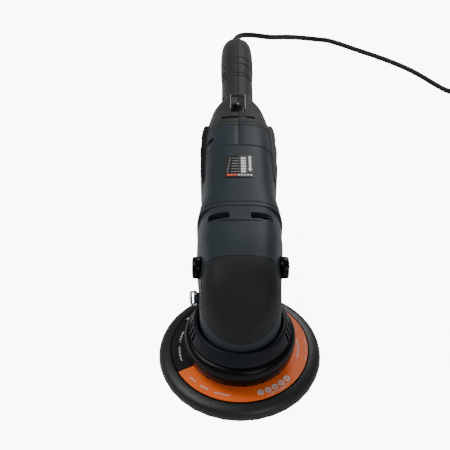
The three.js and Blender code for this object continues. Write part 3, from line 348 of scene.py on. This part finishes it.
def block(bm, xs, ys, zs, round_edges=0.0, matrix=None):
    made = bmesh.ops.create_cube(bm, size=1)["verts"]
    for v in made:
        v.co = Vector((
            (xs[0] + xs[1]) / 2 + v.co.x * (xs[1] - xs[0]),
            (ys[0] + ys[1]) / 2 + v.co.y * (ys[1] - ys[0]),
            (zs[0] + zs[1]) / 2 + v.co.z * (zs[1] - zs[0]),
        ))
    edges = list({e for v in made for e in v.link_edges})
    if matrix is not None:
        bmesh.ops.transform(bm, matrix=matrix, verts=made)
    if round_edges:
        bmesh.ops.bevel(
            bm, geom=edges, offset=round_edges, affect="EDGES", segments=2, profile=0.5,
            material=-1,
        )


def pocket(bm, faces, rim, depth, towards):
    """Sinks the faces by depth, inside a rim; towards(point) is the way in."""
    faces = list(faces)
    if rim:
        bmesh.ops.inset_region(bm, faces=faces, thickness=rim, use_even_offset=True)
    made = bmesh.ops.extrude_face_region(bm, geom=faces)
    for v in (g for g in made["geom"] if isinstance(g, bmesh.types.BMVert)):
        v.co += Vector(towards(v.co)).normalized() * depth
    bmesh.ops.delete(bm, geom=[f for f in faces if f.is_valid], context="FACES")


def plate(bm, outline, low, high):
    """A flat closed plate from an (x, y) outline."""
    a = [bm.verts.new((x, y, low)) for x, y in outline]
    b = [bm.verts.new((x, y, high)) for x, y in outline]
    bm.faces.new(list(reversed(a)))
    bm.faces.new(b)
    for k in range(len(a)):
        n = (k + 1) % len(a)
        bm.faces.new((a[k], a[n], b[n], b[k]))


def sector(inner, outer, start, end, centre):
    """Outline of a ring's sector, in degrees."""
    count = max(2, int(abs(end - start) / 3) + 1)
    angles = [math.radians(start + (end - start) * k / count) for k in range(count + 1)]
    cx, cy = centre
    return [(cx + outer * math.cos(a), cy + outer * math.sin(a)) for a in angles] + [
        (cx + inner * math.cos(a), cy + inner * math.sin(a)) for a in reversed(angles)
    ]


def new_piece(name, bm, finish, body="housing", stands_for=(), smooth=38.0):
    """Makes the scaled object, gives it its finish and puts it on its body."""
    bmesh.ops.scale(bm, vec=(MM, MM, MM), verts=bm.verts)
    mesh = bpy.data.meshes.new(name)
    bm.to_mesh(mesh)
    bm.free()
    made = bpy.data.objects.new(name, mesh)
    bpy.context.scene.collection.objects.link(made)
    mesh.materials.append(finish_of(finish))
    for face in mesh.polygons:
        face.use_smooth = True
    mesh.set_sharp_from_angle(angle=math.radians(smooth))
    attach(made, body)
    if stands_for:
        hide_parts(*stands_for)
    return made


def solid_of(bm, name):
    """A scratch object in millimetres, for one boolean."""
    mesh = bpy.data.meshes.new(name)
    bm.to_mesh(mesh)
    bm.free()
    made = bpy.data.objects.new(name, mesh)
    bpy.context.scene.collection.objects.link(made)
    return made


def combined(bm, steps):
    """The bmesh after (operation, tool bmesh) steps, all exact."""
    base = solid_of(bm, "base")
    for operation, tool_bm in steps:
        tool = solid_of(tool_bm, "tool")
        change = base.modifiers.new("cut", "BOOLEAN")
        change.operation = operation
        change.solver = "EXACT"
        change.object = tool
        graph = bpy.context.evaluated_depsgraph_get()
        graph.update()
        mesh = bpy.data.meshes.new_from_object(base.evaluated_get(graph))
        base.modifiers.clear()
        base.data = mesh
        bpy.data.objects.remove(tool)
    result = bmesh.new()
    result.from_mesh(base.data)
    bpy.data.objects.remove(base)
    bmesh.ops.recalc_face_normals(result, faces=result.faces)
    return result


def half_of(bm, side):
    """The left (-1) or right (1) half, closed on the seam, with a small bevel there."""
    plane = side * SEAM
    bmesh.ops.bisect_plane(
        bm, geom=list(bm.verts) + list(bm.edges) + list(bm.faces), dist=1e-5,
        plane_co=(plane, 0, 0), plane_no=(side, 0, 0), clear_inner=True,
    )
    cut = [e for e in bm.edges if all(abs(v.co.x - plane) < 1e-4 for v in e.verts)]
    bmesh.ops.holes_fill(bm, edges=cut, sides=0)
    rim = [
        e for e in bm.edges
        if len(e.link_faces) == 2
        and all(abs(v.co.x - plane) < 1e-4 for v in e.verts)
        and sum(abs(f.normal.x) > 0.98 and len(f.verts) > 8 for f in e.link_faces) == 1
    ]
    bmesh.ops.bevel(bm, geom=rim, offset=0.35, affect="EDGES", segments=2, profile=0.5,
                    material=-1)
    bmesh.ops.recalc_face_normals(bm, faces=bm.faces)
    return bm


def rod_x(radius, xs, y, z, sides=32):
    bm = bmesh.new()
    turn = Matrix.Translation(((xs[0] + xs[1]) / 2, y, z)) @ Matrix.Rotation(math.pi / 2, 4, "Y")
    bmesh.ops.create_cone(bm, cap_ends=True, segments=sides, radius1=radius, radius2=radius,
                          depth=xs[1] - xs[0], matrix=turn)
    return bm


def box_tool(xs, ys, zs, matrix=None, round_edges=0.0):
    bm = bmesh.new()
    block(bm, xs, ys, zs, round_edges, matrix)
    return bm


# ---------------------------------------------------------------------- pieces


def make_camera(p):
    data = bpy.data.cameras.new("camera")
    data.lens = p.lens
    data.sensor_width = 36
    data.clip_start, data.clip_end = 0.05, 20
    made = bpy.data.objects.new("camera", data)
    bpy.context.scene.collection.objects.link(made)
    made.location = CAMERA_AT
    made.rotation_euler = (math.radians(90 - p.pitch), 0, 0)
    bpy.context.scene.camera = made


def cord_points():
    """The free stretch over the floor, then the wound coil, then into the plug."""
    route = [Vector(q) for q in CORD_ROUTE]
    points = []
    for i in range(len(route) - 1):
        a = route[max(0, i - 1)]
        b, c = route[i], route[i + 1]
        d = route[min(len(route) - 1, i + 2)]
        for k in range(4):
            t = k / 4
            points.append(0.5 * (
                2 * b + (c - a) * t + (2 * a - 5 * b + 4 * c - d) * t * t
                + (3 * b - a - 3 * c + d) * t ** 3
            ))
    points.append(route[-1])
    cx, cy = COIL_CENTRE
    order = [(r, z) for n, z in enumerate(COIL_LAYERS)
             for r in (COIL_RADII if n % 2 == 0 else COIL_RADII[::-1])]
    per_turn = 40
    for n, (r, z) in enumerate(order):
        nr, nz = order[n + 1] if n + 1 < len(order) else (r, z)
        for k in range(per_turn):
            share = k / per_turn
            ease = max(0.0, (share - 0.72) / 0.28)
            ease = ease * ease * (3 - 2 * ease)
            turn = math.pi / 2 - 2 * math.pi * share
            radius = r + (nr - r) * ease
            if n == 0 and k == 0:
                continue
            points.append(Vector((
                cx + radius * math.cos(turn), cy + radius * math.sin(turn), z + (nz - z) * ease
            )))
    last_r, last_z = order[-1]
    for k in range(21):
        turn = math.pi / 2 - math.pi * k / 20
        points.append(Vector((cx + last_r * math.cos(turn), cy + last_r * math.sin(turn), last_z)))
    end = Vector(PLUG_ENTRY)
    start = points[-1].copy()
    for k in range(1, 9):
        t = k / 8
        ease = t * t * (3 - 2 * t)
        points.append(Vector((
            start.x + (end.x - start.x) * t,
            start.y + (end.y - start.y) * ease,
            start.z + (end.z - start.z) * ease,
        )))
    return points


def make_cord(p):
    points = cord_points()
    line = bpy.data.curves.new("mains_cord", "CURVE")
    line.dimensions = "3D"
    line.bevel_depth = CORD_R * MM
    line.bevel_resolution = 4
    line.use_fill_caps = True
    strand = line.splines.new("POLY")
    strand.points.add(len(points) - 1)
    for at, q in zip(strand.points, points):
        at.co = (q.x * MM, q.y * MM, q.z * MM, 1)
    strand.use_smooth = True
    line.materials.append(finish_of("cord_sheath"))
    cord = bpy.data.objects.new("mains_cord", line)
    bpy.context.scene.collection.objects.link(cord)
    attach(cord, "housing")
    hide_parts("cord", "cord_coil")

    bm = bmesh.new()
    _, y0, z0 = CORD_EXIT
    outer = [(4.8, 409), (4.8, 422.6), (6.3, 423.2), (6.35, 426.5), (5.9, 427.6)]
    for k in range(5):
        y = 428.6 + k * 3
        r = 5.75 - 0.19 * k
        outer += [(r, y), (r, y + 1.7), (r - 0.75, y + 2.1), (r - 0.75, y + 2.6)]
    outer += [(4.7, y0 - 1.2), (4.4, y0 - 0.2), (4.1, y0)]
    profile = [(3.6, y0), (3.6, 409)] + outer
    spin(bm, profile, 40, (0, z0), "Y")
    relief = new_piece("cord_boot", bm, "cord_sheath",
                       stands_for=["strain_relief"])

    bm = bmesh.new()
    near, far = TIE_X
    for turn in TIE_TURNS:
        matrix = Matrix.Translation((*COIL_CENTRE, 0)) @ Matrix.Rotation(math.radians(turn), 4, "Z")
        for xs, zs in (
            ((near, far), (0, 0.9)), ((near, far), (27.1, TIE_TOP)),
            ((near, near + 1), (0.5, 27.5)), ((far - 1, far), (0.5, 27.5)),
        ):
            block(bm, xs, (-4, 4), zs, 0.2, matrix)
    tie = new_piece("cord_tie", bm, "hook_fabric")


def make_pad(p):
    bm = bmesh.new()
    profile = [
        (12, 2.3), (74.2, 2.3), (74.8, 2.7), (75, 3.6), (74.8, 5.2), (74.2, 7), (73.2, 8.6),
        (71.8, 9.8), (69.8, 10.8), (67.4, 11.5), (65.4, 11.9), (64.4, 12), (64.1, 11.8),
        (64.1, 8.8), (12, 8.8),
    ]
    spin(bm, profile, 160, (0, PAD_Y))
    new_piece("foam_pad", bm, "pad_foam", "pad", ["pad_foam"])

    centre = (0, PAD_Y)
    for name, start, sweep, finish, old in (
        ("label_orange", 208, 212, "orange_print", "pad_label_orange"),
        ("label_black", 420.4, 147.2, "black_print", "pad_label_black"),
    ):
        bm = bmesh.new()
        plate(bm, sector(46, 63, start, start + sweep, centre), 12.3, 12.8)
        new_piece(name, bm, finish, "pad", [old])

    bm = bmesh.new()
    low, high = PAD_PRINT
    for start, count in ((219, 4), (232, 5), (247, 8)):
        for k in range(count):
            at = start + 1.7 * k
            tall = 1.0 if k else 1.7
            plate(bm, sector(56, 56 + tall + 0.5, at, at + 1.1, centre), low, high)
            plate(bm, sector(56, 56.4, at, at + 1.5, centre), low, high)
    for start, end in ((296, 303), (305, 318)):
        plate(bm, sector(59.6, 60, start, end, centre), low, high)
    for start, end in ((292, 300), (302, 312), (345, 352), (354, 359), (1, 11)):
        plate(bm, sector(61, 61.4, start, end, centre), low, high)
    for k in range(12):
        at = 346 + 2.1 * k
        plate(bm, sector(53.4, 54.6, at, at + 1.3, centre), low, high)
    for k in range(5):
        at = math.radians(289 + 7.4 * k)
        spot = (centre[0] + 55.6 * math.cos(at), centre[1] + 55.6 * math.sin(at))
        plate(bm, sector(1.5, 3.0, 0, 350, spot), low, high)
        plate(bm, sector(0.01, 0.8, 0, 350, spot), low, high)
    new_piece("label_marks", bm, "print_white", "pad", smooth=20)
    bm = bmesh.new()
    for start, count in ((160, 6), (173, 1), (180, 9)):
        for k in range(count):
            at = start + 2 * k
            plate(bm, sector(55, 56 + 0.7 * (k % 2), at, at + 1.2, centre), low, high)
    plate(bm, sector(59.4, 60.8, 143.5, 145.5, centre), low, high)
    new_piece("label_ticks", bm, "print_white", "pad", smooth=20)


def make_shroud(p):
    bm = bmesh.new()
    profile = [
        (46, 24), (47.6, 24), (48.3, 24.6), (48.9, 28.2), (49.6, 32), (49.9, 35), (50, 38),
        (49.8, 39.9), (49.3, 41.5), (48.4, 42.9), (47.2, 43.9), (45.9, 44.5), (44.6, 44.7),
        (24, 44.7), (24, 42), (44, 42), (46, 39.7),
    ]
    steps = 240
    spin(bm, profile, steps)

    def notch(f):
        c = f.calc_center_median()
        r = math.hypot(c.x, c.y)
        turn = math.degrees(math.atan2(c.y, c.x)) % 360
        return 24.6 < c.z < 28 and r > 47.5 and (turn + 8) % 20 < 3

    pocket(bm, [f for f in bm.faces if notch(f)], 0.15, 1.6, lambda c: (-c.x, -c.y, 0))
    new_piece("pad_shroud", bm, "black_plastic", stands_for=["shroud"])

    bm = bmesh.new()
    profile = [
        (42.7, 45), (45.2, 45), (45.5, 45.4), (45.5, 47.6), (45.2, 48.8), (44.6, 50.4),
        (43.2, 54.5), (42.2, 57.2), (41.6, 58.6), (41, 59), (38.4, 59), (40.4, 54.5),
        (42.7, 48.4),
    ]
    spin(bm, profile, steps)

    def slotted(f):
        c = f.calc_center_median()
        turn = math.degrees(math.atan2(c.y, abs(c.x)))
        r = math.hypot(c.x, c.y)
        row = 48 < c.z < 56 and r > 42.4 and f.normal.x * c.x > 0
        return row and -22 < turn < 6 and (turn + 22) % 7 < 4.6

    pocket(bm, [f for f in bm.faces if slotted(f)], 0.12, 1.3, lambda c: (-c.x, -c.y, 0))
    new_piece("gear_collar", bm, "collar_plastic",
              stands_for=["vented_collar"])


def head_stations(end):
    nose = [NOSE_Y - NOSE_R * math.cos(math.radians(d)) for d in
            (2, 8, 15, 22, 29, 36, 43, 50, 57, 64, 71, 78, 84)]
    rest = [-2, 2, 6, 10, 14, 19, 24, 30, 36, 41, 46, 50, 54, 58, 62, 66, 70, 74, 78]
    ends = [end - LIP, end - 0.55, end - 0.3, end - 0.12, end]
    return nose + rest + ends


def head_bmesh(inset=0.0, end=HEAD_END):
    bm = bmesh.new()
    loft(bm, [(y, head_ring(y, inset + lip(y, -90, end))) for y in head_stations(end)])
    bmesh.ops.remove_doubles(bm, verts=bm.verts, dist=1e-3)
    bmesh.ops.recalc_face_normals(bm, faces=bm.faces)
    return bm


def insert_tool(grow):
    """The nose insert's side outline, swept across the head."""
    back = NOSE_CREST_Y + grow
    low = NOSE_FOOT - grow
    forward, bend_z = NOSE_PAD_BEND
    outline = [(back, ABOVE), (back, NOSE_PAD_FLANK)]
    for k in range(1, 15):
        t = k / 14
        y = (1 - t) ** 2 * back + 2 * t * (1 - t) * (back - forward) + t * t * NOSE_PAD_FRONT
        z = (1 - t) ** 2 * NOSE_PAD_FLANK + 2 * t * (1 - t) * (bend_z - grow) + t * t * low
        outline.append((y, z))
    outline += [(-CLEAR, low), (-CLEAR, ABOVE)]
    bm = bmesh.new()
    sides = [[bm.verts.new((x, y, z)) for y, z in outline] for x in (-CLEAR, CLEAR)]
    bm.faces.new(sides[0])
    bm.faces.new(list(reversed(sides[1])))
    for k in range(len(outline)):
        n = (k + 1) % len(outline)
        bm.faces.new((sides[0][k], sides[1][k], sides[1][n], sides[0][n]))
    bmesh.ops.recalc_face_normals(bm, faces=bm.faces)
    cheeks = [
        ("DIFFERENCE", box_tool(sorted((side * (NOSE_PAD_HALF + grow), side * 70)),
                                (-7 - grow, 60), (60, 150), round_edges=1.5))
        for side in (-1, 1)
    ]
    return combined(bm, cheeks)


def make_head(p):
    steps = [
        ("DIFFERENCE", insert_tool(0.45)),
        ("UNION", combined(head_bmesh(NOSE_BED), [("INTERSECT", insert_tool(1.2))])),
    ]
    for side, _ in HANDS:
        vent = sorted(side * x for x in VENT_X)
        well = sorted((side * 34.6, side * CLEAR))
        steps.append(("DIFFERENCE", box_tool(vent, VENT_Y, (118, ABOVE), round_edges=2.2)))
        steps.append(("DIFFERENCE", rod_x(9.9, well, BOSS_Y, BOSS_Z)))
    steps.append(("DIFFERENCE", box_tool((-31, 31), (55.2, 56.6), (126, ABOVE))))
    bm = combined(head_bmesh(), steps)
    block(bm, (-41.45, -34.9), (10, 18), (68, 75), 0.8)
    new_piece("gear_head_cover", bm, "housing_plastic",
              stands_for=["head_cover"], smooth=32)

    bm = combined(head_bmesh(), [("INTERSECT", insert_tool(0))])
    inner = combined(bm, [("DIFFERENCE", head_bmesh(NOSE_PAD_THICK, end=90))])
    new_piece("nose_pad", inner, "soft_rubber", stands_for=["nose_insert"],
              smooth=32)

    bm = bmesh.new()
    for side, _ in HANDS:
        xs = sorted((side * (VENT_X[0] + 1), side * (VENT_X[1] - 1)))
        for k in range(3):
            y = 60.8 + k * 2.9
            block(bm, xs, (y, y + 1.1), (117.4, 119.6), 0.2)
    new_piece("vent_louvres", bm, "black_plastic")

    for side, hand in HANDS:
        bm = bmesh.new()
        profile = [(0.01, 34.8), (9.4, 34.8), (9.7, 35.2), (9.7, 40.8), (9.3, 41.7), (8.4, 42.2),
                   (7.2, 42.4), (6.6, 42.4), (6.2, 41.4), (5.4, 41), (0.01, 41)]
        spin(bm, profile, 48)
        turn = Matrix.Translation((0, BOSS_Y, BOSS_Z)) @ Matrix.Rotation(side * math.pi / 2, 4, "Y")
        bmesh.ops.transform(bm, matrix=turn, verts=bm.verts)
        new_piece(f"handle_boss_{hand}", bm, "black_plastic",
                  stands_for=[f"boss_plug_{hand}"])


def make_motor_housing(p):
    start, end = HOUSING_ENDS
    inner = [83.6, 85, 86.4, 86.8, 88.4, 88.8] + list(range(92, 173, 4)) + [171.2, 171.8]
    bm = bmesh.new()
    stations = []
    for y in lipped(start, end, sorted(inner)):
        groove = 0.5 if 86.7 < y < 88.5 else 0.0
        stations.append((y, body_ring(y, lip(y, start, end) + groove)))
    loft(bm, stations)
    new_piece("motor_shell", bm, "housing_plastic",
              stands_for=["motor_housing"], smooth=30)


def top_at(x, y, out):
    """Height of the body's top skin, grown outwards."""
    half, low = along(BODY_HALF, y) + out, along(BODY_BOTTOM, y) - out
    top, square = along(BODY_TOP, y) + out, along(BODY_SQUARE, y)
    middle = (low + top) / 2
    return middle + (top - middle) * (1 - abs(x / half) ** square) ** (1 / square)


def printed(bm, outline):
    """A thin print on the label plate, cut in strips that follow its curve."""
    xs = [q[0] for q in outline]
    ys = [q[1] for q in outline]
    if len(outline) == 4 and len(set(xs)) == 2 and max(xs) - min(xs) > 4:
        count = math.ceil((max(xs) - min(xs)) / 3)
        edges = [min(xs) + (max(xs) - min(xs)) * k / count for k in range(count + 1)]
        for a, b in zip(edges, edges[1:]):
            printed(bm, [(a, min(ys)), (b, min(ys)), (b, max(ys)), (a, max(ys))])
        return
    rows = [[bm.verts.new((x, y, top_at(x, y, out))) for x, y in outline]
            for out in RATING_PRINT]
    bm.faces.new(list(reversed(rows[0])))
    bm.faces.new(rows[1])
    for k in range(len(outline)):
        n = (k + 1) % len(outline)
        bm.faces.new((rows[0][k], rows[0][n], rows[1][n], rows[1][k]))


def make_label(p):
    """The rating label's generic print: chart lines, blocks, an arrow and bars."""
    layers = {"print_grey": [], "print_white": [], "print_orange": []}
    for k in range(6):
        y = 129.6 + 4.1 * k
        layers["print_white"].append([(1.6, y), (6.4, y), (6.4, y + 3), (1.6, y + 3)])
        layers["print_grey"].append([(-8 + 0.3 * k, y + 0.9), (-0.4, y + 0.9),
                                     (-0.4, y + 1.7), (-8 + 0.3 * k, y + 1.7)])
        layers["print_grey"].append([(-12 + 0.5 * k, y), (-11.3 + 0.5 * k, y),
                                     (-10.6 + 0.5 * k, y + 2.8), (-11.3 + 0.5 * k, y + 2.8)])
    layers["print_white"].append([(9.2, 155), (9.2, 135), (8, 135), (10.3, 130.6),
                                  (12.6, 135), (11.4, 135), (11.4, 155)])
    for x in (-11.8, -8.6, -5.4):
        layers["print_orange"].append([(x, 124.4), (x + 2.5, 124.4), (x + 2.5, 127.4),
                                       (x, 127.4)])
    for k in range(5):
        x = -1.6 + 2.9 * k
        layers["print_white"].append([(x, 124.9), (x + 2, 124.9), (x + 2, 127), (x, 127)])
    for finish, outlines in layers.items():
        bm = bmesh.new()
        for outline in outlines:
            printed(bm, outline)
        bmesh.ops.recalc_face_normals(bm, faces=bm.faces)
        new_piece(f"rating_{finish}", bm, finish, smooth=20)


def switch_bed():
    """Turns and moves what is drawn level at the origin into the switch's bed."""
    return Matrix.Translation(SWITCH_AT) @ Matrix.Rotation(SWITCH_TILT, 4, "X")


def make_rear(p):
    collar = lipped(*COLLAR_ENDS, list(range(178, 211, 4)))
    for side, hand in HANDS:
        bm = bmesh.new()
        loft(bm, [(y, body_ring(y, lip(y, *COLLAR_ENDS))) for y in collar])
        if side < 0:
            bm = combined(bm, [("DIFFERENCE", rod_x(SCREW_WELL_R, (-CLEAR, -8), 190, 109)),
                               ("DIFFERENCE", rod_x(4.4, (-CLEAR, -20), 190, 110))])
        half_of(bm, side)
        new_piece(f"collar_shell_{hand}", bm, "housing_plastic",
                  stands_for=[f"rear_collar_{hand}"], smooth=30)

    start, end = GRIP_ENDS
    inner = list(range(215, 288, 3)) + [293, 299, 305, 311, 317, 321]
    grooves = []
    for y in GRIP_GROOVES:
        grooves += [y - GROOVE_HALF, y - 0.55, y, y + 0.55, y + GROOVE_HALF]
    inner = sorted(set(inner + grooves + [334, 339, 343, 352, 356, 364, 370, 376, 382, 388, 393,
                                          398, 402, 406, 409, 412, 414.5, 416.5, 418.2]))
    bed = switch_bed()
    for side, hand in HANDS:
        bm = bmesh.new()
        stations = []
        for y in [start, 212.62, 212.8, 213.05, 213.4] + inner + [419.3, end]:
            draw = lip(y, start, 500)
            for at in GRIP_GROOVES:
                near = abs(y - at)
                if near < GROOVE_HALF:
                    draw += GROOVE_DEEP * (1 - near / GROOVE_HALF)
            stations.append((y, body_ring(y, draw)))
        loft(bm, stations)
        steps = [
            ("DIFFERENCE", box_tool((-17.4, 17.4), (227.4, 231.8), (96, 130))),
            ("DIFFERENCE", box_tool((-7.2, 7.2), (-9.6, 29), (-1.4, 12), bed, 0.5)),
            ("DIFFERENCE", box_tool((-2.6, 2.6), (-4.6, 13.6), (-8, 5), bed)),
            ("DIFFERENCE", box_tool((-33, 33), (218.6, 219.3), (112.9, 130))),
        ]
        if side < 0:
            steps += [("DIFFERENCE", rod_x(SCREW_WELL_R, (-CLEAR, -8), 286, 95)),
                      ("DIFFERENCE", rod_x(SCREW_WELL_R, (-CLEAR, -8), 336, 93))]
        bm = combined(bm, steps)
        half_of(bm, side)
        new_piece(f"grip_{hand}", bm, "handle_plastic",
                  stands_for=[f"handle_{hand}"], smooth=30)

    bm = bmesh.new()
    front, back = WHEEL_Y
    profile = [(3.3, 226.5), (7, 226.5), (7, front), (28.4, front), (WHEEL_R, 228.5),
               (WHEEL_R, 230.7), (28.4, back), (3.3, back)]
    spin(bm, profile, 144, (0, MOTOR_Z), "Y")

    def rib(f):
        c = f.calc_center_median()
        turn = math.degrees(math.atan2(c.z - MOTOR_Z, c.x)) % 5
        return abs(math.hypot(c.x, c.z - MOTOR_Z) - WHEEL_R) < 0.1 and turn < 2.4

    pocket(bm, [f for f in bm.faces if rib(f)], 0, 0.5, lambda c: (-c.x, 0, MOTOR_Z - c.z))
    new_piece("speed_wheel", bm, "black_plastic", "dial", ["speed_dial"])


def make_switch(p):
    bed = switch_bed()
    bm = bmesh.new()
    block(bm, (-6.5, 6.5), (-9, 9), (-1.1, 1.9), 0.6, bed)
    for k in range(5):
        y = -6.4 + 2.6 * k
        block(bm, (-5.2, 5.2), (y, y + 1.1), (1.6, 2.6), 0.25, bed)
    block(bm, (-2.4, 2.4), (-4.4, 4.4), (-7.0, -1.0), 0, bed)
    new_piece("switch_button", bm, "black_plastic", "switch",
              ["switch_slider"])
    bm = bmesh.new()
    block(bm, (-0.7, 0.7), (6.4, 8.2), (1.85, 2.0), 0, bed)
    new_piece("switch_tick", bm, "print_white", "switch")
    bm = bmesh.new()
    for side, _ in HANDS:
        xs = sorted((side * 7.3, side * 8.1))
        block(bm, xs, (-9.6, 29), (0.2, 1.0), 0.15, bed)
    new_piece("bed_rails", bm, "print_grey")


class Shared(bpy.types.PropertyGroup):
    lens: bpy.props.FloatProperty(name="Lens", description="Focal length in millimetres",
                                  default=76.53)
    pitch: bpy.props.FloatProperty(name="Pitch", description="Degrees the camera looks down",
                                   default=42.296)
    floor_size: bpy.props.FloatProperty(name="Floor size", description="Floor's side in metres",
                                        default=14.0)
    floor_glow: bpy.props.FloatProperty(name="Floor glow", default=9.0,
                                        description="Lifts the paper floor to white")
    key_power: bpy.props.FloatProperty(name="Key power", description="Key light in watts",
                                       default=11.0)
    rim_power: bpy.props.FloatProperty(name="Rim power", description="Rear light in watts",
                                       default=9.0)
    world_strength: bpy.props.FloatProperty(name="Surround", default=0.3,
                                            description="Strength of the pale surround")


class Step:
    bl_options = {"REGISTER", "UNDO"}
    make = None

    def execute(self, context):
        type(self).make(context.scene.polisher)
        return {"FINISHED"}


def make_frame_finishes(p):
    """Gives every CAD node the finish of its material slot."""
    slots = {s["node"]: s["material_slot"] for s in frame["record"]["subparts"]}
    for name, made in frame["nodes"].items():
        made.data.materials.clear()
        made.data.materials.append(finish_of(slots[name]))


def make_stage(p):
    bpy.ops.mesh.primitive_plane_add(size=p.floor_size, location=(0, 0, 0))
    floor = bpy.context.object
    floor.name = "floor"
    paper = surface("floor_paper", (0.9, 0.9, 0.9), 0.8, mottle=0.004)
    glow = paper.node_tree.nodes["Principled BSDF"]
    glow.inputs["Emission Color"].default_value = (1, 1, 1, 1)
    tree = paper.node_tree
    seen = node(tree, "ShaderNodeLightPath", -560, -400)
    lift = node(tree, "ShaderNodeMath", -300, -400)
    lift.operation = "MULTIPLY"
    lift.inputs[1].default_value = p.floor_glow
    tree.links.new(seen.outputs["Is Camera Ray"], lift.inputs[0])
    tree.links.new(lift.outputs["Value"], glow.inputs["Emission Strength"])
    floor.data.materials.append(paper)
    world = bpy.data.worlds.new("surround")
    bpy.context.scene.world = world
    world.use_nodes = True
    shade = world.node_tree.nodes["Background"]
    shade.inputs["Color"].default_value = (1, 1, 1, 1)
    shade.inputs["Strength"].default_value = p.world_strength
    for name, size, power_w, place, aim in (
        ("key_light", 0.9, p.key_power, (-0.75, 0.1, 1.25), (0, 0.15, 0.08)),
        ("rear_light", 0.8, p.rim_power, (0.45, 1.35, 0.95), (0, 0.2, 0.08)),
        ("front_light", 0.7, p.key_power * 0.35, (0.5, -0.95, 0.75), (0, 0, 0.06)),
    ):
        data = bpy.data.lights.new(name, "AREA")
        data.shape = "DISK"
        data.size = size
        data.energy = power_w
        lamp = bpy.data.objects.new(name, data)
        bpy.context.scene.collection.objects.link(lamp)
        lamp.location = place
        lamp.rotation_mode = "QUATERNION"
        lamp.rotation_quaternion = (Vector(aim) - Vector(place)).to_track_quat("-Z", "Y")


class POLISHER_OT_camera(Step, bpy.types.Operator):
    """Place the camera"""
    bl_idname = "polisher.camera"
    bl_label = "Camera"
    make = staticmethod(make_camera)


class POLISHER_OT_cord(Step, bpy.types.Operator):
    """Lay the mains cord, its boot, coil and tie"""
    bl_idname = "polisher.cord"
    bl_label = "Cord"
    make = staticmethod(make_cord)


class POLISHER_OT_finishes(Step, bpy.types.Operator):
    """Give the CAD nodes their finishes"""
    bl_idname = "polisher.finishes"
    bl_label = "Finishes"
    make = staticmethod(make_frame_finishes)


class POLISHER_OT_pad(Step, bpy.types.Operator):
    """Build the foam pad and its printed ring"""
    bl_idname = "polisher.pad"
    bl_label = "Pad"
    make = staticmethod(make_pad)


class POLISHER_OT_shroud(Step, bpy.types.Operator):
    """Build the shroud and the slotted collar"""
    bl_idname = "polisher.shroud"
    bl_label = "Shroud"
    make = staticmethod(make_shroud)


class POLISHER_OT_head(Step, bpy.types.Operator):
    """Build the gear head cover, nose pad and bosses"""
    bl_idname = "polisher.head"
    bl_label = "Head"
    make = staticmethod(make_head)


class POLISHER_OT_motor(Step, bpy.types.Operator):
    """Build the motor housing"""
    bl_idname = "polisher.motor"
    bl_label = "Motor housing"
    make = staticmethod(make_motor_housing)


class POLISHER_OT_label(Step, bpy.types.Operator):
    """Print the rating label"""
    bl_idname = "polisher.label"
    bl_label = "Label"
    make = staticmethod(make_label)


class POLISHER_OT_rear(Step, bpy.types.Operator):
    """Build the rear collar, grip and speed wheel"""
    bl_idname = "polisher.rear"
    bl_label = "Rear"
    make = staticmethod(make_rear)


class POLISHER_OT_switch(Step, bpy.types.Operator):
    """Build the slide switch"""
    bl_idname = "polisher.switch"
    bl_label = "Switch"
    make = staticmethod(make_switch)


class POLISHER_OT_stage(Step, bpy.types.Operator):
    """Set the floor and the lights"""
    bl_idname = "polisher.stage"
    bl_label = "Stage"
    make = staticmethod(make_stage)


OPERATORS = (
    POLISHER_OT_camera, POLISHER_OT_cord, POLISHER_OT_finishes, POLISHER_OT_pad,
    POLISHER_OT_shroud, POLISHER_OT_head, POLISHER_OT_motor, POLISHER_OT_label,
    POLISHER_OT_rear, POLISHER_OT_switch, POLISHER_OT_stage,
)


class POLISHER_PT_panel(bpy.types.Panel):
    """The polisher's steps"""
    bl_label = "Polisher"
    bl_idname = "POLISHER_PT_panel"
    bl_space_type = "VIEW_3D"
    bl_region_type = "UI"
    bl_category = "Polisher"

    def draw(self, context):
        for name in Shared.__annotations__:
            self.layout.prop(context.scene.polisher, name)
        for operator in OPERATORS:
            self.layout.operator(operator.bl_idname)


def register():
    for made in (Shared, *OPERATORS, POLISHER_PT_panel):
        bpy.utils.register_class(made)
    bpy.types.Scene.polisher = bpy.props.PointerProperty(type=Shared)


def unregister():
    del bpy.types.Scene.polisher
    for made in (POLISHER_PT_panel, *reversed(OPERATORS), Shared):
        bpy.utils.unregister_class(made)


def main():
    register()
    for operator in OPERATORS:
        getattr(bpy.ops.polisher, operator.bl_idname.split(".")[1])()
    bpy.context.view_layer.update()


if __name__ == "__main__":
    main()
